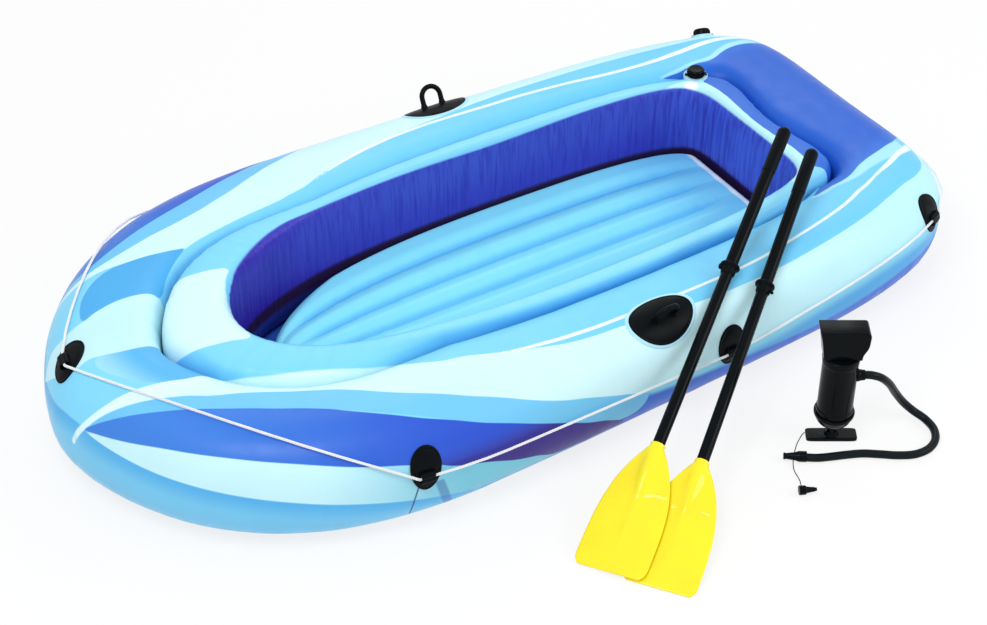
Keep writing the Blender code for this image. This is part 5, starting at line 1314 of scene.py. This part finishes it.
def make_valves(black, film):
    """Each valve: a pale welded flange, a black neck with its plug, and a ribbed cap on a strap."""
    plate, top, neck, bore, root = (
        VALVE_FLANGE_THICKNESS, VALVE_NECK_TOP, VALVE_NECK_RADIUS, VALVE_BORE_RADIUS, -VALVE_ROOT)
    flange, knob, tab = VALVE_FLANGE_RADIUS, PLUG_HEAD_RADIUS - 0.0005, CAP_TAB_WIDTH / 2
    rest, shank = top + FIT_GAP, bore - FIT_GAP
    head = rest + PLUG_HEAD_THICKNESS
    seat, ceiling = plate + FIT_GAP, head + 0.0007
    crown, wide, inside = ceiling + CAP_CEILING, CAP_RADIUS, CAP_RADIUS - CAP_WALL
    strap = [(CAP_HINGE_X, tab), (CAP_HINGE_X, -tab), (-0.0170, -tab * 0.84), (-0.0170, tab * 0.84)]
    pull = [(0.0245, 0.0018), (0.0240, 0.0030), (0.0228, 0.0036), (0.0170, 0.0046)]
    pull += [(x, -y) for x, y in reversed(pull)]
    for tag, origin, x_axis, z_axis in VALVES:
        place = frame_from(origin, x_axis, z_axis)
        turned(f"valve_flange_{tag}", place, (
            (neck, plate * 0.8, 0), (0.0165, plate * 0.8, 0.0006), (0.0172, plate * 0.45, 0.0005),
            (0.0232, plate * 0.45, 0.0005), (0.0238, plate, 0.0008), (flange, plate, 0.0012),
            (flange, root, 0), (neck, root, 0)), film, "boat", "black_plastic")
        turned(f"valve_neck_{tag}", place, (
            (bore, top, 0.0004), (neck, top, 0.0006), (neck, plate + 0.002, 0.0008),
            (0.0158, plate + 0.0006, 0.0008), (0.0158, plate * 0.5, 0), (0.0142, root, 0), (bore, root, 0)),
            black, "boat", "black_plastic", [f"valve_base_{tag}"])
        turned(f"valve_stopper_{tag}", place, (
            (0.0, head - 0.0006, 0), (0.0095, head - 0.0006, 0.0006), (0.0105, head, 0.0005),
            (knob, head, 0.0009), (knob, rest, 0.0003), (shank, rest, 0), (shank, top - PLUG_LENGTH, 0.001),
            (0.0, top - PLUG_LENGTH, 0)),
            black, f"plug_{tag}", "black_plastic", [f"valve_plug_{tag}"])
        ribs_round(f"stopper_ribs_{tag}", at_height(place, rest + PLUG_HEAD_THICKNESS * 0.45), black,
                   f"plug_{tag}", "black_plastic", Count=28, Radius=PLUG_HEAD_RADIUS - 0.0004,
                   Height=PLUG_HEAD_THICKNESS * 0.7, Thickness=0.0010)
        mesh = bmesh.new()
        lathe(mesh, place, (
            (0.0, crown, 0), (wide - 0.0030, crown, 0.0012), (wide, crown - 0.0034, 0.0022),
            (wide, seat + 0.001, 0.0004), (wide + 0.0005, seat, 0.0003), (inside, seat, 0),
            (inside, ceiling, 0.0005), (0.0, ceiling, 0)))
        slab(mesh, place, strap, seat + 0.0006, seat + 2 * CAP_KNUCKLE_RADIUS - 0.0004, ease=0.0004)
        slab(mesh, place, pull, seat + 0.0004, seat + 0.0019, ease=0.0005)
        pin = place @ Matrix.Translation((CAP_HINGE_X, 0.0, seat + CAP_KNUCKLE_RADIUS))
        lathe(mesh, pin @ Matrix.Rotation(pi / 2, 4, "X"), (
            (0.0, tab + 0.001, 0), (CAP_KNUCKLE_RADIUS, tab + 0.001, 0.0004),
            (CAP_KNUCKLE_RADIUS, -tab - 0.001, 0.0004), (0.0, -tab - 0.001, 0)), segments=20)
        thing(f"valve_lid_{tag}", mesh, black, f"cap_{tag}", "black_plastic", [f"valve_cap_{tag}"])
        ribs_round(f"lid_ribs_{tag}", at_height(place, seat + 0.0058), black, f"cap_{tag}", "black_plastic",
                   Count=36, Radius=wide + 0.0001, Height=0.0078, Thickness=0.0012)


# Oars, leaning as in the CAD source: tip, heading, slope and roll
OAR_LENGTH, OAR_UPPER_LENGTH, OAR_UPPER_RADIUS, OAR_LOWER_RADIUS = 1.00, 0.332, 0.0127, 0.0118
OAR_SHAFT_WALL, OAR_PLUG_DEPTH, OAR_COLLAR_RADIUS, OAR_COLLAR_LENGTH = 0.0014, 0.060, 0.0200, 0.022
GRIP_LENGTH, GRIP_RADIUS, GRIP_PLUG_DEPTH = 0.110, 0.0135, 0.025
BLADE_LENGTH, BLADE_WIDTH, BLADE_TIP_WIDTH, BLADE_THICKNESS = 0.265, 0.139, 0.117, 0.0045
BLADE_RIB, BLADE_SOCKET_RADIUS, BLADE_SOCKET_DEPTH, BLADE_CROWN = 0.0055, 0.0145, 0.050, 0.004
BLADE_STEP, BLADE_STEP_PLACE = 0.0014, 0.105
# Knob on each collar: its place beside the shaft, its drop below the collar's top, its slant and its radius
COLLAR_KNOBS = {"fore_oar": (0.0158, 0.0030, 0.0080, 0.0, 0.0062),
                "aft_oar": (-0.0165, 0.0045, 0.0165, 0.016, 0.0034)}
OARS = (
    ("aft_oar", (-0.157, -0.817), radians(36.5), radians(19.9069), 0.0),
    ("fore_oar", (-0.212, -0.740), radians(34.1), radians(22.589), radians(-4.5)),
)


def oar_place(tip, heading, slope, roll):
    """Frame of an oar: its origin in the blade's tip, Z up the shaft, X to the left of it."""
    height = FIT_GAP + BLADE_THICKNESS / 2 + BLADE_TIP_WIDTH / 2 * abs(sin(roll))
    way = (cos(heading) * cos(slope), sin(heading) * cos(slope), sin(slope))
    return frame_from((*tip, height), (-sin(heading), cos(heading), 0.0), way) @ Matrix.Rotation(roll, 4, "Z")


def blade_ring(height):
    """Ring of points across a blade at a height over its tip: thin edge, ridge, bead along the rim."""
    along = BLADE_LENGTH - height
    share = max(0.0, (along - 0.15 * BLADE_SOCKET_DEPTH) / (BLADE_LENGTH - 0.15 * BLADE_SOCKET_DEPTH))
    flare = 1 - (1 - min(1.0, share / 0.92)) ** 3.2
    end = max(0.0, (share - 0.90) / 0.10)
    half = BLADE_SOCKET_RADIUS + (BLADE_WIDTH / 2 - BLADE_SOCKET_RADIUS) * flare
    half *= 1.0 - (1.0 - BLADE_TIP_WIDTH / BLADE_WIDTH) * end ** 3
    taper = clamp((along - BLADE_SOCKET_DEPTH - 0.004) / (0.25 * BLADE_LENGTH))
    rib = BLADE_SOCKET_RADIUS + (BLADE_RIB - BLADE_SOCKET_RADIUS) * taper
    rib += (BLADE_THICKNESS / 2 - BLADE_RIB) * max(0.0, (share - 0.45) / 0.55)
    crown = BLADE_CROWN * sin(pi * min(1.0, share)) * min(1.0, share / 0.2)
    mix = min(1.0, share / 0.12)
    thin = min(1.0, (height / 0.0016 + 0.02) ** 0.5)
    ring = []
    for turn in turns(72):
        across, bulge = cos(turn), abs(sin(turn))
        edge = BLADE_THICKNESS / 2 * min(1.0, bulge * 3) ** 0.6
        inside = abs(across) * half / rib
        ridge = (rib - BLADE_THICKNESS / 2) * exp(-(inside / 1.1) ** 2)
        flat = max(edge + ridge, rib * (1 - inside ** 2) ** 0.5 if inside < 1 else 0.0)
        thick = (rib * bulge * (1 - mix) + flat * mix) * thin
        past_step = along - BLADE_STEP_PLACE + 0.008 * across ** 2 + 0.002 * sin(9 * across)
        bend = BLADE_STEP / (1 + exp(past_step / 0.0012)) - BLADE_STEP / 2
        ring.append((half * across, copysign(thick, sin(turn)) + (crown * (0.4 - across ** 2) + bend) * mix))
    return ring


def make_oar(tag, place, yellow, black, soft):
    """The same five pieces as in the CAD: blade, lower shaft and collar, then upper shaft and grip."""
    mesh = bmesh.new()
    heights = [0.0, 0.0003, 0.0008, 0.0016, 0.003, 0.005, 0.008, 0.012]
    heights += [0.012 + (BLADE_LENGTH - 0.013) * k / 60 for k in range(1, 61)]
    heights += [BLADE_LENGTH - BLADE_STEP_PLACE + 0.0008 * k for k in range(-12, 16)]
    rings = []
    for height in (*sorted(heights), BLADE_LENGTH - 0.0004, BLADE_LENGTH):
        size = 0.96 if height == BLADE_LENGTH else 1.0
        rings.append([mesh.verts.new(place @ Vector((x * size, y * size, height)))
                      for x, y in blade_ring(height)])
    join_rings(mesh, rings)
    thing(f"{tag}_paddle", mesh, yellow, tag, "yellow_plastic", [f"{tag}_blade"], sharp=50)
    joint = OAR_LENGTH - OAR_UPPER_LENGTH
    thin, wide, clear = OAR_LOWER_RADIUS, OAR_UPPER_RADIUS, OAR_LOWER_RADIUS + FIT_GAP
    wall, start, end = thin - OAR_SHAFT_WALL, BLADE_LENGTH - 0.004, joint + OAR_PLUG_DEPTH
    turned(f"{tag}_lower_tube", place, (
        (wall, end, 0.0003), (thin, end, 0.0006), (thin, start, 0), (wall, start, 0)),
        black, tag, "black_plastic", [f"{tag}_lower_shaft"])
    start, end = OAR_LENGTH - GRIP_LENGTH, OAR_LENGTH - GRIP_LENGTH + GRIP_PLUG_DEPTH
    turned(f"{tag}_upper_tube", place, (
        (clear, end, 0), (wide, end, 0), (wide, joint, 0.0004), (clear, joint, 0.0003)),
        black, f"{tag}_top", "black_plastic", [f"{tag}_upper_shaft"])
    top, sleeve, out = joint - FIT_GAP, wide + 0.001, OAR_COLLAR_RADIUS
    low = top - OAR_COLLAR_LENGTH
    mesh = bmesh.new()
    lathe(mesh, place, (
        (clear, top, 0), (out - 0.0012, top, 0.0012), (out, top - 0.0036, 0.0016),
        (out - 0.0026, top - 0.0070, 0.0016), (sleeve + 0.0006, top - 0.0096, 0.0014),
        (sleeve, low + 0.004, 0.001), (sleeve - 0.0008, low, 0.0006), (clear, low, 0)))
    x, y, drop, slant, stem = COLLAR_KNOBS[tag]
    lathe(mesh, place @ frame_from((x, y, top - drop), (0, 0, 1), (x, y, -slant)), (
        (0.0, 0.0052, 0), (stem * 0.92, 0.0052, stem * 0.6), (stem, 0.0, 0.001), (stem * 0.8, -0.006, 0),
        (0.0, -0.006, 0)), segments=24)
    thing(f"{tag}_drip_ring", mesh, soft, tag, "black_vinyl", [f"{tag}_collar"])
    ribs_round(f"{tag}_ring_ribs", at_height(place, low + 0.0072), soft, tag, "black_vinyl",
               Count=26, Radius=sleeve, Height=0.0085, Thickness=0.0011)
    sleeve, end, grip, shoulder_height = wide + FIT_GAP, end + FIT_GAP, GRIP_RADIUS, OAR_LENGTH - GRIP_RADIUS
    nose = [(grip * sin(turn), OAR_LENGTH - grip * (1 - cos(turn)), 0)
            for turn in (pi / 18 * k for k in range(9))]
    turned(f"{tag}_handgrip", place, nose + [
        (grip, shoulder_height, 0), (grip, start + 0.004, 0.002), (sleeve + 0.0004, start, 0.0003),
        (sleeve, start, 0), (sleeve, end, 0), (0.0, end, 0)],
        soft, f"{tag}_top", "black_vinyl", [f"{tag}_grip"])


# Hand pump, the same sizes as in the CAD source
PUMP_HEIGHT, FOOT_LENGTH, FOOT_WIDTH, FOOT_THICKNESS = 0.280, 0.098, 0.032, 0.008
NECK_RADIUS, CONE_TOP_Z, FLARE_RADIUS = 0.009, 0.068, 0.0390
BARREL_RADIUS, BARREL_WALL, BARREL_TOP_Z = 0.0350, 0.0025, 0.200
PUMP_CAP_THICKNESS, ROD_RADIUS = 0.006, 0.0060
HANDLE_WIDTH, HANDLE_DEPTH, HANDLE_SHOULDER_WIDTH = 0.096, 0.042, 0.072
HOSE_PORT_Z, HOSE_PORT_LENGTH = 0.155, 0.014
NOZZLE_LENGTH, NOZZLE_RADIUS, NOZZLE_TIP_RADIUS, NOZZLE_BORE_RADIUS = 0.044, 0.0105, 0.0065, 0.0019
ADAPTER_PLACE, ADAPTER_LENGTH, ADAPTER_RADIUS, ADAPTER_TIP_RADIUS = (-0.080, -0.160), 0.034, 0.009, 0.0032
ADAPTER_BORE_RADIUS, ADAPTER_HEADING = 0.0016, radians(6)


def make_pump(black):
    """The pump from its foot to its handle; the rod and the piston keep the CAD's shape."""
    place, on_pump = pump_place(), (black, "pump", "black_plastic")
    mesh = bmesh.new()
    slab(mesh, place, rounded_ring(FOOT_LENGTH, FOOT_WIDTH, power=9.0, count=48), 0.0, FOOT_THICKNESS,
         ease=0.0016)
    thing("foot_plate", mesh, *on_pump, ["pump_foot"])
    treads("foot_treads", place @ Matrix.Translation((-0.040, 0.0, FOOT_THICKNESS)), *on_pump,
           Count=17, Step=0.005, Thickness=0.0018, Length=0.024, Height=0.0012)
    top, foot, rod = CONE_TOP_Z, FOOT_THICKNESS + FIT_GAP, ROD_RADIUS + FIT_GAP
    turned("barrel_foot", place, (
        (0.0, top, 0), (FLARE_RADIUS, top, 0.0012), (FLARE_RADIUS, top - 0.0055, 0.0015),
        (FLARE_RADIUS * 0.82, top - 0.022, 0.006), (FLARE_RADIUS * 0.45, top - 0.036, 0.004),
        (NECK_RADIUS, top - 0.044, 0.003), (NECK_RADIUS, FOOT_THICKNESS + 0.007, 0.002),
        (NECK_RADIUS * 1.6, foot, 0.0006), (0.0, foot, 0)), *on_pump, ["pump_base"], segments=64)
    inside, low, high, wide = BARREL_RADIUS - BARREL_WALL, top + FIT_GAP, BARREL_TOP_Z, BARREL_RADIUS
    waist, bead = wide - 0.0008, wide + 0.0008
    turned("barrel_tube", place, (
        (inside, high, 0), (wide, high, 0.0005), (wide, high - 0.010, 0.0008), (waist, high - 0.0112, 0.0008),
        (waist, low + 0.0115, 0.0008), (bead, low + 0.0100, 0.0008), (bead, low + 0.001, 0.0008),
        (wide, low, 0), (inside, low, 0)), *on_pump, ["pump_barrel"], segments=72)
    low = high + FIT_GAP
    high = low + PUMP_CAP_THICKNESS
    turned("barrel_lid", place, (
        (rod, high, 0), (wide - 0.002, high, 0.0012), (wide + 0.0006, high - 0.0016, 0.0012),
        (wide + 0.0006, low, 0.0004), (rod, low, 0)), *on_pump, ["pump_cap"], segments=72)
    ribs_round("barrel_lid_ribs", at_height(place, low + PUMP_CAP_THICKNESS * 0.42), *on_pump,
               Count=60, Radius=wide + 0.0005, Height=PUMP_CAP_THICKNESS * 0.62, Thickness=0.0012)
    low = high + FIT_GAP
    half_top, half_low, peak = HANDLE_WIDTH / 2, HANDLE_SHOULDER_WIDTH / 2, PUMP_HEIGHT - 0.008
    outline = eased((
        (-half_low, low, 0.0026), (half_low, low, 0.0026), (half_low + 0.0005, low + 0.011, 0.005),
        (half_top - 0.002, peak - 0.036, 0.008), (half_top - 0.0005, peak - 0.008, 0.004),
        (half_top - 0.005, peak, 0.004), (-half_top + 0.001, peak, 0.003),
        (-half_top + 0.006, peak - 0.022, 0.012), (-half_low - 0.002, low + 0.015, 0.012)))
    mesh = bmesh.new()
    slab(mesh, place @ Matrix.Rotation(pi / 2, 4, "X"), outline, -HANDLE_DEPTH / 2, HANDLE_DEPTH / 2,
         ease=0.0018)
    thing("plunger_handle", mesh, black, "pump_plunger", "black_plastic", ["pump_handle"])
    hose, reach_out, root = HOSE_DIAMETER / 2, wide + HOSE_PORT_LENGTH, wide - 0.003
    turned("hose_socket", at_height(place, HOSE_PORT_Z) @ Matrix.Rotation(pi / 2, 4, "Y"), (
        (hose - 0.003, reach_out, 0), (hose + 0.0018, reach_out, 0.0008), (hose + 0.003, wide + 0.005, 0.001),
        (hose + 0.0045, wide + 0.001, 0.001), (hose + 0.0045, root, 0), (hose - 0.003, root, 0)),
        *on_pump, ["hose_port"])


def make_nozzle(black):
    """Nozzle on the hose's far end, pointing on along the ground."""
    points = smooth_route(HOSE_ROUTE, spacing=0.016)
    way = points[-1] - points[-2]
    way.z = 0.0
    way.normalize()
    place = frame_from(Vector((points[-1].x, points[-1].y, NOZZLE_RADIUS)) + way * FIT_GAP, (0, 0, 1), way)
    bore, wide, tip, end = NOZZLE_BORE_RADIUS, NOZZLE_RADIUS, NOZZLE_TIP_RADIUS, NOZZLE_LENGTH
    nozzle = turned("nozzle", place, (
        (bore, end, 0.0004), (tip, end, 0.0008), (tip, end - 0.004, 0.0006),
        (tip - 0.0007, end - 0.0050, 0.0004), (tip + 0.0015, 0.022, 0.001), (wide, 0.0145, 0.001),
        (wide, 0.0, 0.0008), (bore, 0.0, 0)),
        black, "pump", "black_plastic", ["hose_nozzle"])
    rings_along("nozzle_rings", at_height(place, 0.0028), black, "pump", "black_plastic", Count=4,
                Step=0.0032, Radius=wide - 0.0004, Thickness=0.0014)
    return nozzle


def make_adapter(black):
    """Spare valve adapter, lying on the ground at the tether's end."""
    place = pump_place() @ Matrix.Translation((*ADAPTER_PLACE, ADAPTER_RADIUS + FIT_GAP))
    place = place @ Matrix.Rotation(ADAPTER_HEADING, 4, "Z") @ Matrix.Rotation(pi / 2, 4, "Y")
    wide, length, bore, tip = ADAPTER_RADIUS, ADAPTER_LENGTH, ADAPTER_BORE_RADIUS, ADAPTER_TIP_RADIUS
    lip = wide + 0.0001
    adapter = turned("adapter", place, (
        (bore, length, 0.0003), (tip, length, 0.0006), (wide * 0.72, length * 0.42, 0.002),
        (wide, length * 0.36, 0.0012), (wide, length * 0.10, 0.0004), (lip, length * 0.09, 0.0002),
        (lip, 0.0, 0.0006), (bore, 0.0, 0)), black, "pump", "black_plastic", ["valve_adapter"])
    rings_along("adapter_rings", at_height(place, length * 0.55), black, "pump", "black_plastic", Count=3,
                Step=0.0045, Radius=wide * 0.52, Thickness=0.0012)
    return adapter


def dress(node, finish):
    """Give a CAD solid that keeps its shape a better material."""
    for slot in NODES[node].material_slots:
        slot.material = finish.material


def rope_fibre():
    """White cord, a little soiled."""
    finish = Finish("white_rope", Specular_IOR_Level=0.3)
    place = finish.place()
    fine, soiled = finish.grain(place, 1400.0, 2.0), finish.grain(place, 12.0, 2.0)
    finish.shade(Base_Color=finish.blend(fine * 0.35 + soiled * 0.25, "FBFCFE", "D6DBE4"),
                 Roughness=fine.over(0.2, 0.8, 0.7, 0.9), Normal=finish.relief(fine, 0.0004, 0.4))
    return finish


def black_skin(name, dark, light, rough, relief=0.0005, scale=420.0, level=0.1):
    """Vinyl, rubber or plastic between two near tones, with fine grain and paler rubbed places."""
    finish = Finish(name, Specular_IOR_Level=level)
    place = finish.place()
    cloudy, fine = finish.grain(place, 22.0, 4.0), finish.grain(place, scale)
    rubbed = finish.grain(place, 65.0, 5.0, 0.7).over(0.55, 0.8)
    finish.shade(Base_Color=finish.blend(cloudy * 0.6 + rubbed * 0.4, dark, light),
                 Roughness=cloudy.over(0.3, 0.7, rough - 0.06, rough + 0.08),
                 Normal=finish.relief(fine + cloudy * 0.6, relief, 0.35))
    return finish


def yellow_plastic():
    """Moulded yellow of the blades, a little cloudy and with a soft gloss."""
    finish = Finish("yellow_plastic", Specular_IOR_Level=0.15, Coat_Weight=0.6, Coat_Roughness=0.07)
    place = finish.place()
    cloudy, fine = finish.grain(place, 14.0), finish.grain(place, 700.0, 2.0)
    finish.shade(Base_Color=finish.blend(cloudy, "FFF21A", "FBE014"),
                 Roughness=cloudy.over(0.3, 0.7, 0.24, 0.34),
                 Normal=finish.relief(fine * 0.3 + cloudy, 0.0006, 0.3))
    return finish


def main():
    set_camera()
    lay_floor()
    light_room()
    black_hose = black_skin("black_hose", "0A1115", "161F25", rough=0.34, scale=260.0)
    black_vinyl = black_skin("black_vinyl", "05090C", "0C1216", rough=0.36, level=0.06)
    black_plastic = black_skin("black_plastic", "04070A", "0A1115", rough=0.16, relief=0.0002, scale=900.0,
                               level=0.07)
    make_cords(black_hose, black_vinyl, make_nozzle(black_plastic), make_adapter(black_plastic))
    make_tube("outer", stations=620, sides=150, puckers=outer_puckers, prints=OUTER_PRINT,
              finish=printed_vinyl(), slot="printed_vinyl")
    make_tube("inner", stations=900, sides=80, puckers=inner_puckers, prints=INNER_PRINT,
              finish=wall_vinyl(), slot="wall_vinyl")
    make_floor_cushion(floor_vinyl())
    make_rope(rope_fibre(), black_vinyl)
    film = black_skin("flange_film", "B8E9FA", "9AD6F2", rough=0.30, level=0.3)
    make_oarlocks(black_vinyl, film)
    make_valves(black_plastic, film)
    yellow = yellow_plastic()
    for tag, tip, heading, slope, roll in OARS:
        make_oar(tag, oar_place(tip, heading, slope, roll), yellow, black_plastic, black_vinyl)
    make_pump(black_plastic)
    for node in ("pump_rod", "pump_piston"):
        dress(node, black_plastic)
    dress("piston_seal", black_skin("seal_rubber", "121416", "1F2225", rough=0.6, relief=0.0004, scale=500.0))
    dress("bottom_sheet", black_skin("sheet_vinyl", "2F5FC4", "274FAE", rough=0.42, relief=0.0006, scale=90.0,
                                     level=0.2))


main()
